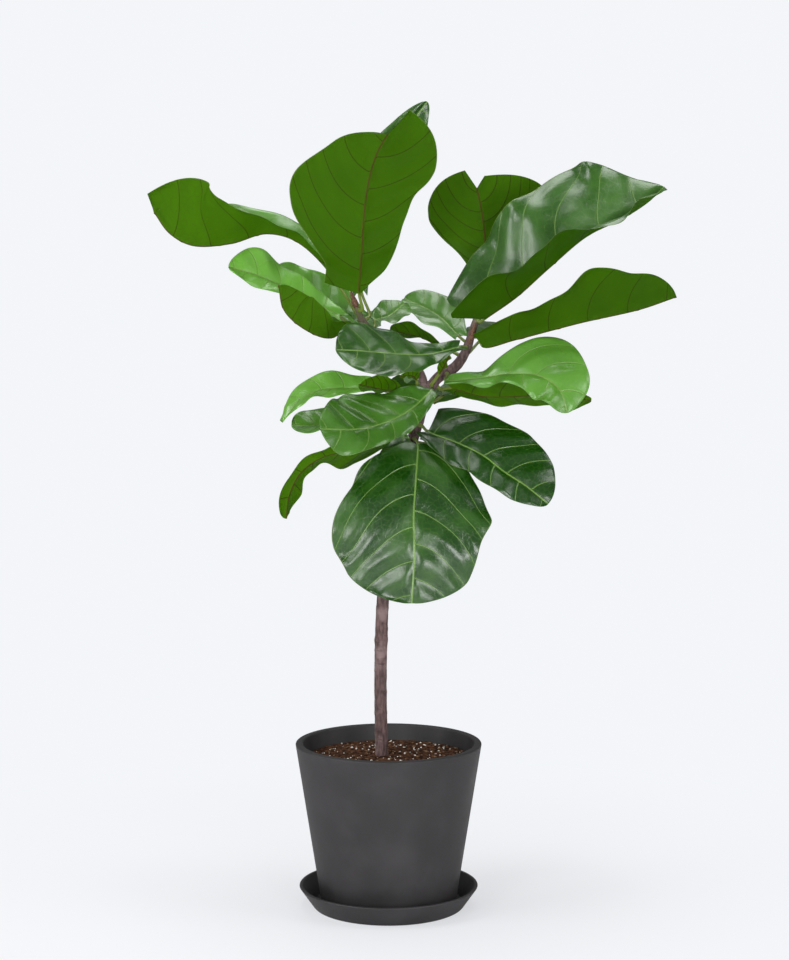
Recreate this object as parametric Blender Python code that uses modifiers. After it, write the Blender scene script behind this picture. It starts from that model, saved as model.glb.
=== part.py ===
"""A potted fiddle leaf fig: a woody stem that forks into two shoots, large violin-shaped
leaves on short stalks, a tapered planter filled with potting mix, and a saucer under it.

Metres, Z up. The planter's axis is the Z axis and the saucer's underside is at Z = 0.
The front of the plant looks along -Y."""

import math

import bmesh
import bpy
import numpy as np

SAUCER_HEIGHT = 0.035
SAUCER_RADIUS = 0.1445
SAUCER_BASE_RADIUS = 0.121
SAUCER_FLOOR = 0.005
SAUCER_WALL = 0.006

POT_HEIGHT = 0.263
POT_RADIUS = 0.150
POT_BASE_RADIUS = 0.109
POT_WALL = 0.012
POT_FLOOR = 0.010
GAP = 0.0003

SOIL_TOP = 0.243
SOIL_MOUND = 0.005

STALK_RADIUS = 0.0023
BLADE = 0.0014
MIDRIB = 0.0022

# Centre lines of the wood, each point as x, y, z and the radius there.
STEMS = {
    "trunk": [
        (-0.011, 0.000, 0.180, 0.0108),
        (-0.011, 0.000, 0.250, 0.0104),
        (-0.013, 0.001, 0.350, 0.0100),
        (-0.012, 0.002, 0.434, 0.0101),
        (-0.008, 0.004, 0.510, 0.0097),
        (0.010, 0.004, 0.628, 0.0094),
        (0.034, 0.002, 0.740, 0.0092),
        (0.050, 0.000, 0.796, 0.0090),
        (0.063, 0.000, 0.843, 0.0088),
    ],
    "right": [
        (0.060, 0.000, 0.832, 0.0084),
        (0.080, 0.000, 0.856, 0.0086),
        (0.106, 0.002, 0.872, 0.0084),
        (0.123, 0.004, 0.897, 0.0074),
        (0.132, 0.004, 0.925, 0.0062),
        (0.140, 0.004, 0.950, 0.0050),
    ],
    "left": [
        (0.060, 0.000, 0.830, 0.0066),
        (0.050, 0.006, 0.862, 0.0068),
        (0.015, 0.012, 0.897, 0.0064),
        (-0.020, 0.008, 0.922, 0.0058),
        (-0.041, 0.004, 0.945, 0.0052),
        (-0.050, 0.002, 0.966, 0.0042),
    ],
}

# Stations of a leaf: fractions of its stalk, then fractions of its blade.
STALK_STEPS = (0.0, 0.2, 0.4, 0.6, 0.8)
BLADE_STEPS = (
    0.0, 0.02, 0.06, 0.11, 0.17, 0.24, 0.32, 0.40, 0.48, 0.56, 0.64, 0.72, 0.80, 0.87, 0.93, 0.97, 0.993,
)
RING = 8

for obj in list(bpy.data.objects):
    bpy.data.objects.remove(obj, do_unlink=True)

parts = bpy.data.collections.new("potted_fiddle_leaf_fig")
cutters = bpy.data.collections.new("cutters")
cutters.hide_render = True
bpy.context.scene.collection.children.link(parts)
bpy.context.scene.collection.children.link(cutters)


def material(name, colour, roughness):
    made = bpy.data.materials.new(name)
    made.use_nodes = True
    shader = made.node_tree.nodes["Principled BSDF"]
    shader.inputs["Base Color"].default_value = (*colour, 1.0)
    shader.inputs["Roughness"].default_value = roughness
    return made


LEAF = material("leaf_green", (0.045, 0.14, 0.02), 0.35)
BARK = material("bark", (0.11, 0.075, 0.06), 0.85)
SHEATH = material("bud_sheath", (0.12, 0.05, 0.035), 0.7)
SOIL = material("potting_mix", (0.035, 0.018, 0.011), 0.95)
CHARCOAL = material("charcoal_planter", (0.045, 0.043, 0.047), 0.6)
CHARCOAL_SAUCER = material("charcoal_saucer", (0.045, 0.043, 0.047), 0.6)


def add(name, mesh, shade, collection=parts):
    obj = bpy.data.objects.new(name, mesh)
    collection.objects.link(obj)
    obj.data.materials.append(shade)
    obj.data.shade_smooth()
    return obj


def smooth_path(points, per_span=24):
    """A curve through the points that doesn't loop or swing where two of them lie close
    together (centripetal Catmull-Rom): its samples, and the distance of each along it."""
    points = np.asarray(points, float)
    ends = np.vstack([2 * points[0] - points[1], points, 2 * points[-1] - points[-2]])
    samples = []
    for a, b, c, d in zip(ends, ends[1:], ends[2:], ends[3:]):
        before, span, after = (np.linalg.norm((q - p)[:3]) ** 0.5 for p, q in ((a, b), (b, c), (c, d)))
        leave = (c - b) + span * ((b - a) / before - (c - a) / (before + span))
        arrive = (c - b) + span * ((d - c) / after - (d - b) / (span + after))
        for step in range(per_span):
            u = step / per_span
            samples.append(
                b * (2 * u**3 - 3 * u**2 + 1) + leave * (u**3 - 2 * u**2 + u)
                + c * (3 * u**2 - 2 * u**3) + arrive * (u**3 - u**2)
            )
    samples.append(points[-1])
    samples = np.array(samples)
    steps = np.linalg.norm(np.diff(samples[:, :3], axis=0), axis=1)
    return samples, np.concatenate([[0.0], np.cumsum(steps)])


def along(path, distance):
    samples, lengths = path
    return np.array([np.interp(distance, lengths, column) for column in samples.T])


def heading(path, distance, reach=0.002):
    """The way the path runs there, over a short stretch or a longer one."""
    ahead = along(path, distance + reach) - along(path, distance - reach)
    return ahead[:3] / np.linalg.norm(ahead[:3])


# ---------------------------------------------------------------- planter and saucer


def turned(name, profile, shade, steps=56):
    """A solid of revolution about Z. The profile runs from the axis, over the top, to the axis."""
    mesh = bpy.data.meshes.new(name)
    mesh.from_pydata(
        [(r, 0, z) for r, z in profile], [(i, i + 1) for i in range(len(profile) - 1)], []
    )
    obj = add(name, mesh, shade)
    screw = obj.modifiers.new("Screw", "SCREW")
    screw.steps = steps
    screw.render_steps = steps
    screw.use_merge_vertices = True
    screw.merge_threshold = 0.0001
    screw.use_normal_calculate = True
    return obj


turned(
    "saucer",
    [
        (0.0, SAUCER_FLOOR),
        (SAUCER_BASE_RADIUS - SAUCER_WALL, SAUCER_FLOOR),
        (SAUCER_BASE_RADIUS - SAUCER_WALL + 0.004, SAUCER_FLOOR + 0.002),
        (SAUCER_RADIUS - SAUCER_WALL, SAUCER_HEIGHT - 0.001),
        (SAUCER_RADIUS - SAUCER_WALL + 0.001, SAUCER_HEIGHT),
        (SAUCER_RADIUS - 0.001, SAUCER_HEIGHT),
        (SAUCER_RADIUS, SAUCER_HEIGHT - 0.0015),
        (SAUCER_BASE_RADIUS + 0.002, 0.003),
        (SAUCER_BASE_RADIUS, 0.001),
        (SAUCER_BASE_RADIUS - 0.002, 0.0),
        (0.0, 0.0),
    ],
    CHARCOAL_SAUCER,
)

pot_bottom = SAUCER_FLOOR + GAP
pot_top = SAUCER_FLOOR + POT_HEIGHT
slope = (POT_RADIUS - POT_BASE_RADIUS) / POT_HEIGHT
inner_floor_radius = POT_BASE_RADIUS + slope * POT_FLOOR - POT_WALL
turned(
    "pot",
    [
        (0.0, pot_bottom + POT_FLOOR),
        (inner_floor_radius - 0.004, pot_bottom + POT_FLOOR),
        (inner_floor_radius, pot_bottom + POT_FLOOR + 0.004),
        (POT_RADIUS - POT_WALL, pot_top - 0.0015),
        (POT_RADIUS - POT_WALL + 0.0015, pot_top),
        (POT_RADIUS - 0.002, pot_top),
        (POT_RADIUS - 0.0002, pot_top - 0.002),
        (POT_BASE_RADIUS, pot_bottom + 0.002),
        (POT_BASE_RADIUS - 0.002, pot_bottom),
        (POT_BASE_RADIUS - 0.014, pot_bottom),
        (POT_BASE_RADIUS - 0.016, pot_bottom + 0.003),
        (0.0, pot_bottom + 0.003),
    ],
    CHARCOAL,
)

# The potting mix fills the planter to 25 mm under its lip and rises a little round the stem.
soil_low = pot_bottom + POT_FLOOR + GAP
soil_radius = POT_RADIUS - POT_WALL - GAP - slope * (pot_top - SOIL_TOP)
soil = turned(
    "soil",
    [
        (0.0, SOIL_TOP + SOIL_MOUND),
        (0.045, SOIL_TOP + 0.5 * SOIL_MOUND),
        (0.090, SOIL_TOP),
        (soil_radius - 0.001, SOIL_TOP),
        (inner_floor_radius - 2 * GAP, soil_low + 0.005),
        (inner_floor_radius - 0.006, soil_low),
        (0.0, soil_low),
    ],
    SOIL,
    steps=40,
)

# ---------------------------------------------------------------- wood


def tube_mesh(name, points, sides=4):
    """A tapering round rod along the points, as a closed mesh."""
    curve = bpy.data.curves.new(name, "CURVE")
    curve.dimensions = "3D"
    curve.bevel_depth = 1.0
    curve.bevel_resolution = sides
    curve.use_fill_caps = True
    spline = curve.splines.new("POLY")
    spline.points.add(len(points) - 1)
    for knot, (x, y, z, radius) in zip(spline.points, points):
        knot.co = (x, y, z, 1.0)
        knot.radius = radius
    rod = bpy.data.objects.new(name + "_curve", curve)
    mesh = bpy.data.meshes.new_from_object(rod)
    bpy.data.objects.remove(rod)
    bm = bmesh.new()
    bm.from_mesh(mesh)
    bmesh.ops.remove_doubles(bm, verts=bm.verts, dist=1e-6)
    bmesh.ops.recalc_face_normals(bm, faces=bm.faces)
    bm.to_mesh(mesh)
    bm.free()
    return mesh


stem_paths = {name: smooth_path(points) for name, points in STEMS.items()}


def rod_points(name, count, grow=0.0, stop=1.0):
    path = stem_paths[name]
    total = path[1][-1] * stop
    points = [along(path, total * i / (count - 1)) for i in range(count)]
    return [(x, y, z, radius + grow) for x, y, z, radius in points]


def boolean(obj, other, operation):
    step = obj.modifiers.new(other.name, "BOOLEAN")
    step.object = other
    step.operation = operation
    step.solver = "EXACT"
    other.hide_render = True
    other.display_type = "WIRE"


stem = add("stem", tube_mesh("stem", rod_points("trunk", 15)), BARK)
for name, count in (("left", 9), ("right", 9)):
    limb = add("limb_" + name, tube_mesh(name, rod_points(name, count)), BARK, cutters)
    boolean(stem, limb, "UNION")

# The stem stands in a hole of its own shape in the potting mix.
root_hole = add(
    "root_hole",
    tube_mesh("root_hole", [
        (-0.011, 0.0, 0.180 - GAP, 0.0116),
        (-0.011, 0.0, 0.225, 0.0112),
        (-0.0115, 0.0, 0.270, 0.0112),
    ]),
    SOIL,
    cutters,
)
boolean(soil, root_hole, "DIFFERENCE")

# ---------------------------------------------------------------- leaves


def smooth_list(values, s):
    """A Catmull-Rom curve through values given at even steps from 0 to 1."""
    last = len(values) - 1
    span = min(int(s * last), last - 1)
    u = s * last - span
    a, b, c, d = (values[min(max(span + k, 0), last)] for k in (-1, 0, 1, 2))
    return 0.5 * (2 * b + (c - a) * u + (2 * a - 5 * b + 4 * c - d) * u**2
                  + (3 * b - a - 3 * c + d) * u**3)


def blend(values, s):
    values = np.asarray(values, float)
    knots = np.linspace(0, 1, len(values))
    if values.ndim == 1:
        return np.interp(s, knots, values)
    return np.array([np.interp(s, knots, column) for column in values.T])


def carried(normal, first, then):
    """The normal after the least turn that brings the direction first round to then."""
    axis, cosine = np.cross(first, then), float(first @ then)
    return normal * cosine + np.cross(axis, normal) + axis * (axis @ normal) / (1 + cosine)


def leaf(
    name, limb, height, rib, face, left, right,
    fold=((15, 15), (15, 15)), curl=(0, 0), wave=(0.003, 2.0, 0.0, 1.5),
    sweep=(0.02, 0.02), notch=(0.0, 0.0), lead=0.008, calm=0.012,
):
    """One leaf as a closed body, stalk and blade together.

    limb, height  the piece of wood it grows from, and how far up that piece
    rib           points of the midrib from the foot of the blade to its tip
    face          the way its upper side looks, from foot to tip
    left, right   half widths at even steps from foot to tip, seen from above
    fold          degrees each half is lifted off flat, at foot and tip
    curl          degrees more that each half has turned at its margin
    wave          height of the margin's waves, waves along it, phase on the left, on the right
    sweep, notch  how far the lobes at the foot reach back, and those at the tip forward
    lead, calm    how far the stalk stands straight out of the wood, and over what length a
                  bend of the midrib is evened out before it turns the blade
    """
    wood = stem_paths[limb]
    foot = along(wood, wood[1][-1] * height)
    grain = heading(wood, wood[1][-1] * height)
    out = np.asarray(rib[0], float) - foot[:3]
    out -= grain * out.dot(grain)
    out /= np.linalg.norm(out)
    start = foot[:3] + out * (foot[3] + GAP)
    path = smooth_path([start, start + out * lead, *rib])
    blade_from = path[1][2 * 24]
    blade_length = path[1][-1] - blade_from

    def frame(distance, s, reach=0.002):
        point = along(path, distance)
        ahead = heading(path, distance, reach)
        normal = blend(face, s)
        normal = normal - ahead * normal.dot(ahead)
        normal /= np.linalg.norm(normal)
        return point, ahead, normal, np.cross(ahead, normal)

    _, first_ahead, first_normal, _ = frame(blade_from, 0.0)

    def stalk_ring(t, v):
        point = along(path, t * blade_from)
        ahead = heading(path, t * blade_from) if t else out
        normal = carried(first_normal, first_ahead, ahead)
        side = np.cross(ahead, normal)
        turn = math.pi * (1 - 2 * v)
        return point + STALK_RADIUS * (math.cos(turn) * side + math.sin(turn) * normal)

    def blade_ring(s, v):
        evened = 0.002 + calm * min(1.0, 12 * s)
        point, ahead, normal, side = frame(blade_from + s * blade_length, s, evened)
        upper = v < 0.5
        q = -1 + 4 * v if upper else 3 - 4 * v
        sign, half = (1, 1) if q >= 0 else (-1, 0)
        reach = abs(q)
        w = smooth_list((left, right)[half], s) * math.sqrt(1 - max(0.0, (s - 0.85) / 0.15) ** 2)
        lift = math.radians(blend(fold[half], s))
        bend = math.radians(curl[half]) or 1e-4
        angle = lift + bend * reach
        flat = w * (math.sin(angle) - math.sin(lift)) / bend
        rise = w * (math.cos(lift) - math.cos(angle)) / bend
        shift = (-sweep[half] * min(1.0, blade_length / 0.15) * reach**1.3 * math.exp(-((s / 0.13) ** 2))
                 + notch[half] * reach * math.exp(-(((1 - s) / 0.12) ** 2)))
        surface = math.cos(angle) * normal - sign * math.sin(angle) * side
        if reach == 0:
            lifts = [math.radians(blend(both, s)) for both in fold]
            surface = (sum(map(math.cos, lifts)) * normal
                       + (math.sin(lifts[0]) - math.sin(lifts[1])) * side)
            surface /= np.linalg.norm(surface)
        ripple = wave[0] * reach**2 * min(1.0, s / 0.2)
        ripple *= math.sin(2 * math.pi * wave[1] * s + wave[2 + half])
        thin = 0.5 * BLADE * (1 - reach)
        if not upper:
            thin = -thin - MIDRIB * (1 - 0.8 * s) * math.exp(-((reach * w / 0.004) ** 2))
        here = point + sign * flat * side + rise * normal + shift * ahead
        here = here + (ripple + thin) * surface
        ease = min(1.0, s / 0.02)
        turn = math.pi * (1 - 2 * v)
        round_ = point + STALK_RADIUS * (math.cos(turn) * side + math.sin(turn) * normal)
        return (1 - ease) * round_ + ease * here

    rings = [lambda v: start]
    rings += [lambda v, t=t: stalk_ring(t, v) for t in STALK_STEPS]
    rings += [lambda v, s=s: blade_ring(s, v) for s in BLADE_STEPS]
    rings.append(lambda v: np.asarray(rib[-1], float))

    bm = bmesh.new()
    bmesh.ops.create_grid(bm, x_segments=len(rings) - 1, y_segments=RING, size=0.5)
    for vert in bm.verts:
        station = round((vert.co.x + 0.5) * (len(rings) - 1))
        v = round((vert.co.y + 0.5) * RING) / RING
        vert.co = rings[station](v % 1.0)
    bmesh.ops.remove_doubles(bm, verts=bm.verts, dist=1e-6)
    bmesh.ops.reverse_faces(bm, faces=bm.faces)
    bmesh.ops.triangulate(bm, faces=bm.faces)
    mesh = bpy.data.meshes.new(name)
    bm.to_mesh(mesh)
    bm.free()
    return add(name, mesh, LEAF)


# Leaves of the left shoot.
leaf(
    "leaf_top", "left", 0.97,
    [(-0.046, -0.016, 0.988), (-0.042, -0.030, 1.050), (-0.038, -0.040, 1.110),
     (-0.030, -0.045, 1.165), (-0.018, -0.044, 1.205), (-0.002, -0.040, 1.234)],
    [(0.0, 1.0, 0.1), (0.0, 1.0, 0.0), (-0.1, 1.0, -0.1)],
    left=(0.006, 0.042, 0.056, 0.066, 0.078, 0.095, 0.092),
    right=(0.056, 0.058, 0.088, 0.118, 0.117, 0.072, 0.036),
    fold=((12, 8), (12, 5)), wave=(0.004, 1.8, 0.5, 2.0),
    sweep=(0.0, -0.010), notch=(0.052, 0.0),
)
leaf(
    "leaf_top_back", "left", 0.87,
    [(-0.044, 0.030, 0.995), (-0.035, 0.060, 1.080), (-0.012, 0.085, 1.170),
     (0.030, 0.090, 1.250), (0.062, 0.085, 1.294)],
    [(0.0, -1.0, 0.1), (0.0, -1.0, -0.1)],
    left=(0.010, 0.030, 0.045, 0.052, 0.044, 0.026, 0.014),
    right=(0.010, 0.020, 0.030, 0.035, 0.040, 0.032, 0.020),
    fold=((10, 10), (10, 10)), lead=0.016,
)
leaf(
    "leaf_left_far", "left", 0.88,
    [(-0.100, 0.030, 1.030), (-0.150, 0.035, 1.073), (-0.195, 0.030, 1.083),
     (-0.250, 0.015, 1.067), (-0.310, 0.000, 1.064), (-0.345, -0.005, 1.083),
     (-0.368, -0.010, 1.115)],
    [(0.0, 0.0, 1.0), (0.0, 0.0, 1.0), (0.4, 0.0, 0.9)],
    left=(0.010, 0.015, 0.030, 0.070, 0.098, 0.110, 0.100),
    right=(0.030, 0.035, 0.045, 0.072, 0.085, 0.070, 0.040),
    fold=((20, 75), (50, 60)), notch=(0.030, 0.0), calm=0.040,
)
leaf(
    "leaf_left_mid", "left", 0.72,
    [(-0.078, 0.004, 0.952), (-0.120, 0.010, 0.975), (-0.165, 0.010, 0.998),
     (-0.210, 0.000, 1.018), (-0.252, -0.010, 1.030)],
    [(0.1, -0.6, 0.75), (0.1, -0.7, 0.7)],
    left=(0.010, 0.015, 0.020, 0.022, 0.025, 0.028, 0.026),
    right=(0.010, 0.020, 0.028, 0.034, 0.042, 0.045, 0.034),
    fold=((5, 5), (15, 15)), wave=(0.005, 2.5, 0.0, 2.0),
)
leaf(
    "leaf_left_mid_back", "left", 0.62,
    [(-0.050, 0.040, 0.945), (-0.095, 0.065, 0.970), (-0.145, 0.090, 0.995),
     (-0.192, 0.110, 1.020)],
    [(0.0, -0.5, 0.85), (0.0, -0.5, 0.85)],
    left=(0.010, 0.025, 0.035, 0.040, 0.035),
    right=(0.015, 0.035, 0.040, 0.035, 0.030),
    fold=((10, 10), (40, 40)),
)
leaf(
    "leaf_left_front", "left", 0.80,
    [(-0.060, -0.030, 0.936), (-0.092, -0.045, 0.920), (-0.132, -0.058, 0.935),
     (-0.162, -0.068, 0.964), (-0.170, -0.072, 1.002)],
    [(0.0, 0.0, 1.0), (0.3, 0.0, 0.8), (0.9, 0.1, 0.3)],
    left=(0.010, 0.030, 0.045, 0.050, 0.050, 0.045, 0.030),
    right=(0.010, 0.025, 0.035, 0.040, 0.040, 0.040, 0.030),
    fold=((45, 80), (45, 60)), sweep=(0.006, 0.006),
)
leaf(
    "leaf_inner", "left", 0.76,
    [(-0.022, 0.020, 0.945), (0.000, 0.040, 0.952), (0.026, 0.060, 0.972)],
    [(0.0, -0.6, 0.8), (0.0, -0.6, 0.8)],
    left=(0.010, 0.025, 0.028, 0.015),
    right=(0.010, 0.028, 0.030, 0.020), sweep=(0.008, 0.008),
)

# Leaves of the right shoot.
leaf(
    "leaf_right_big", "right", 0.97,
    [(0.152, -0.014, 0.949), (0.200, -0.025, 0.983), (0.250, -0.035, 1.028),
     (0.310, -0.035, 1.078), (0.365, -0.030, 1.105), (0.405, -0.022, 1.130),
     (0.432, -0.018, 1.155)],
    [(-0.65, -0.1, 0.75), (-0.6, -0.3, 0.75), (-0.4, -0.3, 0.85)],
    left=(0.060, 0.115, 0.130, 0.125, 0.130, 0.110, 0.060),
    right=(0.040, 0.070, 0.070, 0.055, 0.050, 0.045, 0.035),
    fold=((50, 35), (65, 10)), wave=(0.012, 2.6, 1.0, 0.0),
    sweep=(0.055, 0.050),
)
leaf(
    "leaf_right_top", "right", 0.99,
    [(0.152, 0.045, 1.010), (0.156, 0.075, 1.060), (0.152, 0.095, 1.110),
     (0.143, 0.105, 1.157)],
    [(0.0, 1.0, 0.2), (0.0, 1.0, 0.1)],
    left=(0.050, 0.075, 0.100, 0.115, 0.095),
    right=(0.012, 0.038, 0.066, 0.086, 0.080),
    fold=((10, 10), (5, 5)), notch=(0.018, 0.034),
)
leaf(
    "leaf_right_long", "right", 0.80,
    [(0.150, -0.012, 0.905), (0.200, -0.030, 0.917), (0.300, -0.060, 0.944),
     (0.390, -0.080, 0.965), (0.445, -0.085, 0.984)],
    [(0.0, 0.0, 1.0), (0.0, 0.0, 1.0)],
    left=(0.020, 0.035, 0.045, 0.060, 0.080, 0.080, 0.050),
    right=(0.025, 0.040, 0.052, 0.062, 0.096, 0.078, 0.055),
    fold=((25, 15), (60, 50)), wave=(0.007, 2.2, 0.0, 0.0),
)
leaf(
    "leaf_right_back", "right", 0.72,
    [(0.112, 0.040, 0.920), (0.085, 0.080, 0.948), (0.055, 0.115, 0.966),
     (0.025, 0.135, 0.978)],
    [(0.1, -0.6, 0.75), (0.1, -0.6, 0.75)],
    left=(0.010, 0.030, 0.040, 0.040, 0.025),
    right=(0.010, 0.030, 0.038, 0.035, 0.025),
    fold=((10, 10), (20, 20)),
)
leaf(
    "leaf_front", "right", 0.66,
    [(0.112, -0.030, 0.905), (0.060, -0.070, 0.895), (0.000, -0.110, 0.898),
     (-0.045, -0.135, 0.903), (-0.080, -0.148, 0.905)],
    [(0.0, -0.6, 0.8), (0.0, -0.6, 0.8)],
    left=(0.010, 0.018, 0.032, 0.052, 0.068, 0.065, 0.040),
    right=(0.012, 0.020, 0.030, 0.045, 0.058, 0.058, 0.040),
    fold=((5, 5), (10, 15)),
)
leaf(
    "leaf_right_low", "right", 0.30,
    [(0.090, -0.036, 0.853), (0.140, -0.050, 0.857), (0.190, -0.070, 0.865),
     (0.235, -0.090, 0.862), (0.265, -0.102, 0.840), (0.276, -0.108, 0.806)],
    [(0.0, -0.5, 0.85), (0.1, -0.6, 0.75), (0.5, -0.7, 0.4)],
    left=(0.010, 0.016, 0.026, 0.058, 0.084, 0.056, 0.030),
    right=(0.010, 0.014, 0.018, 0.028, 0.038, 0.042, 0.030),
    fold=((15, 15), (-5, -10)), wave=(0.007, 2.4, 1.2, 0.4), sweep=(0.004, 0.004),
)
leaf(
    "leaf_right_under", "right", 0.12,
    [(0.100, 0.012, 0.838), (0.150, 0.005, 0.826), (0.200, -0.005, 0.826),
     (0.260, -0.015, 0.828), (0.320, -0.025, 0.820)],
    [(0.0, 0.55, 0.83), (0.0, 0.55, 0.83)],
    left=(0.015, 0.030, 0.030, 0.036, 0.048, 0.045, 0.025),
    right=(0.010, 0.035, 0.045, 0.050, 0.050, 0.035, 0.015),
    fold=((5, 5), (5, 5)),
)

# Leaves of the stem below the fork.
leaf(
    "leaf_front_low", "trunk", 0.97,
    [(0.068, -0.042, 0.838), (0.038, -0.072, 0.812), (0.000, -0.102, 0.793),
     (-0.050, -0.135, 0.783), (-0.104, -0.155, 0.785)],
    [(0.0, -0.5, 0.85), (0.0, -0.6, 0.8)],
    left=(0.012, 0.022, 0.030, 0.036, 0.040, 0.045, 0.035),
    right=(0.020, 0.045, 0.060, 0.070, 0.075, 0.065, 0.045),
    fold=((-10, -20), (10, 10)), sweep=(0.0, 0.0),
)
leaf(
    "leaf_centre_under", "trunk", 0.93,
    [(0.010, -0.034, 0.836), (-0.010, -0.052, 0.840), (-0.044, -0.070, 0.848)],
    [(0.0, 0.6, 0.8), (0.0, 0.6, 0.8)],
    left=(0.010, 0.025, 0.028, 0.018),
    right=(0.010, 0.022, 0.024, 0.016),
)
leaf(
    "leaf_left_low", "trunk", 0.945,
    [(-0.010, 0.030, 0.834), (-0.060, 0.050, 0.836), (-0.110, 0.060, 0.832),
     (-0.145, 0.060, 0.815), (-0.172, 0.055, 0.780)],
    [(0.0, -0.5, 0.85), (0.0, -0.5, 0.85), (-0.8, -0.3, 0.4)],
    left=(0.010, 0.025, 0.035, 0.038, 0.036, 0.025, 0.012),
    right=(0.010, 0.025, 0.033, 0.035, 0.032, 0.022, 0.010),
)
leaf(
    "leaf_left_low_back", "trunk", 0.90,
    [(-0.020, 0.050, 0.790), (-0.080, 0.070, 0.780), (-0.120, 0.078, 0.774),
     (-0.158, 0.078, 0.774)],
    [(0.0, -0.5, 0.85), (0.0, -0.5, 0.85)],
    left=(0.010, 0.025, 0.032, 0.036, 0.030),
    right=(0.010, 0.025, 0.032, 0.036, 0.030),
)
leaf(
    "leaf_left_droop", "trunk", 0.885,
    [(-0.005, -0.030, 0.757), (-0.050, -0.050, 0.745), (-0.100, -0.060, 0.735),
     (-0.135, -0.065, 0.712), (-0.155, -0.065, 0.675), (-0.160, -0.065, 0.637)],
    [(0.0, 0.6, 0.8), (0.0, 0.6, 0.8), (-0.7, 0.6, 0.2)],
    left=(0.015, 0.020, 0.022, 0.016, 0.012, 0.016, 0.020),
    right=(0.020, 0.056, 0.062, 0.032, 0.020, 0.028, 0.026),
    fold=((5, 20), (5, 20)),
)
leaf(
    "leaf_low_big", "trunk", 0.87,
    [(0.046, -0.045, 0.752), (0.043, -0.085, 0.705), (0.039, -0.115, 0.645),
     (0.040, -0.130, 0.585), (0.036, -0.130, 0.513)],
    [(0.0, -0.8, 0.5), (0.0, -0.95, 0.2), (0.0, -1.0, -0.1)],
    left=(0.045, 0.080, 0.108, 0.122, 0.102, 0.090, 0.070),
    right=(0.010, 0.085, 0.102, 0.124, 0.126, 0.106, 0.085),
    fold=((-5, -8), (-5, -8)), wave=(0.005, 2.0, 0.0, 2.0),
)
leaf(
    "leaf_low_back", "trunk", 0.84,
    [(0.026, -0.020, 0.768), (0.016, -0.035, 0.730), (0.010, -0.045, 0.685),
     (0.008, -0.050, 0.620)],
    [(0.0, -0.9, 0.4), (0.0, -1.0, 0.0)],
    left=(0.005, 0.030, 0.042, 0.038, 0.030),
    right=(0.010, 0.030, 0.040, 0.036, 0.030), sweep=(0.003, 0.003),
)
leaf(
    "leaf_right_dark", "trunk", 0.905,
    [(0.062, -0.032, 0.772), (0.110, -0.055, 0.755), (0.148, -0.072, 0.737),
     (0.180, -0.085, 0.713), (0.213, -0.095, 0.692), (0.248, -0.100, 0.664)],
    [(0.1, -0.75, 0.65), (0.1, -0.8, 0.6)],
    left=(0.045, 0.062, 0.072, 0.075, 0.075, 0.062, 0.045),
    right=(0.010, 0.034, 0.044, 0.044, 0.038, 0.032, 0.024),
    fold=((5, 5), (5, 5)),
)

# Small and half-hidden leaves in the middle of the crown.
leaf(
    "leaf_low_inner", "trunk", 0.955,
    [(0.044, -0.034, 0.854), (0.034, -0.052, 0.862), (0.018, -0.062, 0.860)],
    [(0.0, 0.7, 0.7), (0.0, 0.7, 0.7)],
    left=(0.006, 0.012, 0.012, 0.008),
    right=(0.006, 0.010, 0.010, 0.008), sweep=(0.0, 0.0),
)
leaf(
    "leaf_mid_under", "right", 0.55,
    [(0.085, 0.040, 0.902), (0.050, 0.065, 0.918), (0.002, 0.080, 0.928)],
    [(0.0, 0.5, 0.85), (0.0, 0.5, 0.85)],
    left=(0.010, 0.025, 0.028, 0.018),
    right=(0.010, 0.025, 0.028, 0.018), sweep=(0.008, 0.008),
)
leaf(
    "leaf_young", "right", 0.10,
    [(0.080, -0.020, 0.862), (0.088, -0.028, 0.876), (0.096, -0.032, 0.892)],
    [(-0.5, 0.8, 0.2), (-0.5, 0.8, 0.2)],
    left=(0.004, 0.010, 0.010, 0.005),
    right=(0.004, 0.009, 0.009, 0.005),
    fold=((35, 35), (35, 35)), sweep=(0.0, 0.0), lead=0.004,
)

# Leaves that reach back from the crown.
leaf(
    "leaf_back_left", "left", 0.68,
    [(-0.044, 0.060, 0.925), (-0.060, 0.125, 0.938), (-0.070, 0.198, 0.942),
     (-0.072, 0.275, 0.922)],
    [(0.0, 0.0, 1.0), (0.0, 0.3, 1.0)],
    left=(0.030, 0.045, 0.052, 0.066, 0.076, 0.072, 0.045),
    right=(0.030, 0.045, 0.050, 0.062, 0.074, 0.068, 0.045),
    fold=((25, 10), (25, 10)), wave=(0.005, 2.2, 0.3, 1.8),
)
leaf(
    "leaf_back_right", "right", 0.62,
    [(0.150, 0.050, 0.915), (0.178, 0.110, 0.928), (0.205, 0.180, 0.930),
     (0.228, 0.255, 0.914)],
    [(0.0, 0.0, 1.0), (0.0, 0.3, 1.0)],
    left=(0.025, 0.040, 0.046, 0.060, 0.070, 0.066, 0.045),
    right=(0.025, 0.040, 0.044, 0.056, 0.068, 0.064, 0.045),
    fold=((20, 5), (20, 5)), wave=(0.005, 2.0, 1.0, 0.2),
)
leaf(
    "leaf_back_top", "right", 0.86,
    [(0.160, 0.060, 0.985), (0.190, 0.120, 1.030), (0.222, 0.180, 1.066),
     (0.258, 0.240, 1.085)],
    [(0.0, -0.3, 1.0), (0.0, 0.0, 1.0)],
    left=(0.020, 0.034, 0.042, 0.056, 0.066, 0.060, 0.040),
    right=(0.020, 0.034, 0.040, 0.052, 0.060, 0.056, 0.040),
    fold=((25, 10), (20, 10)), wave=(0.004, 2.0, 0.5, 1.0),
)
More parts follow.
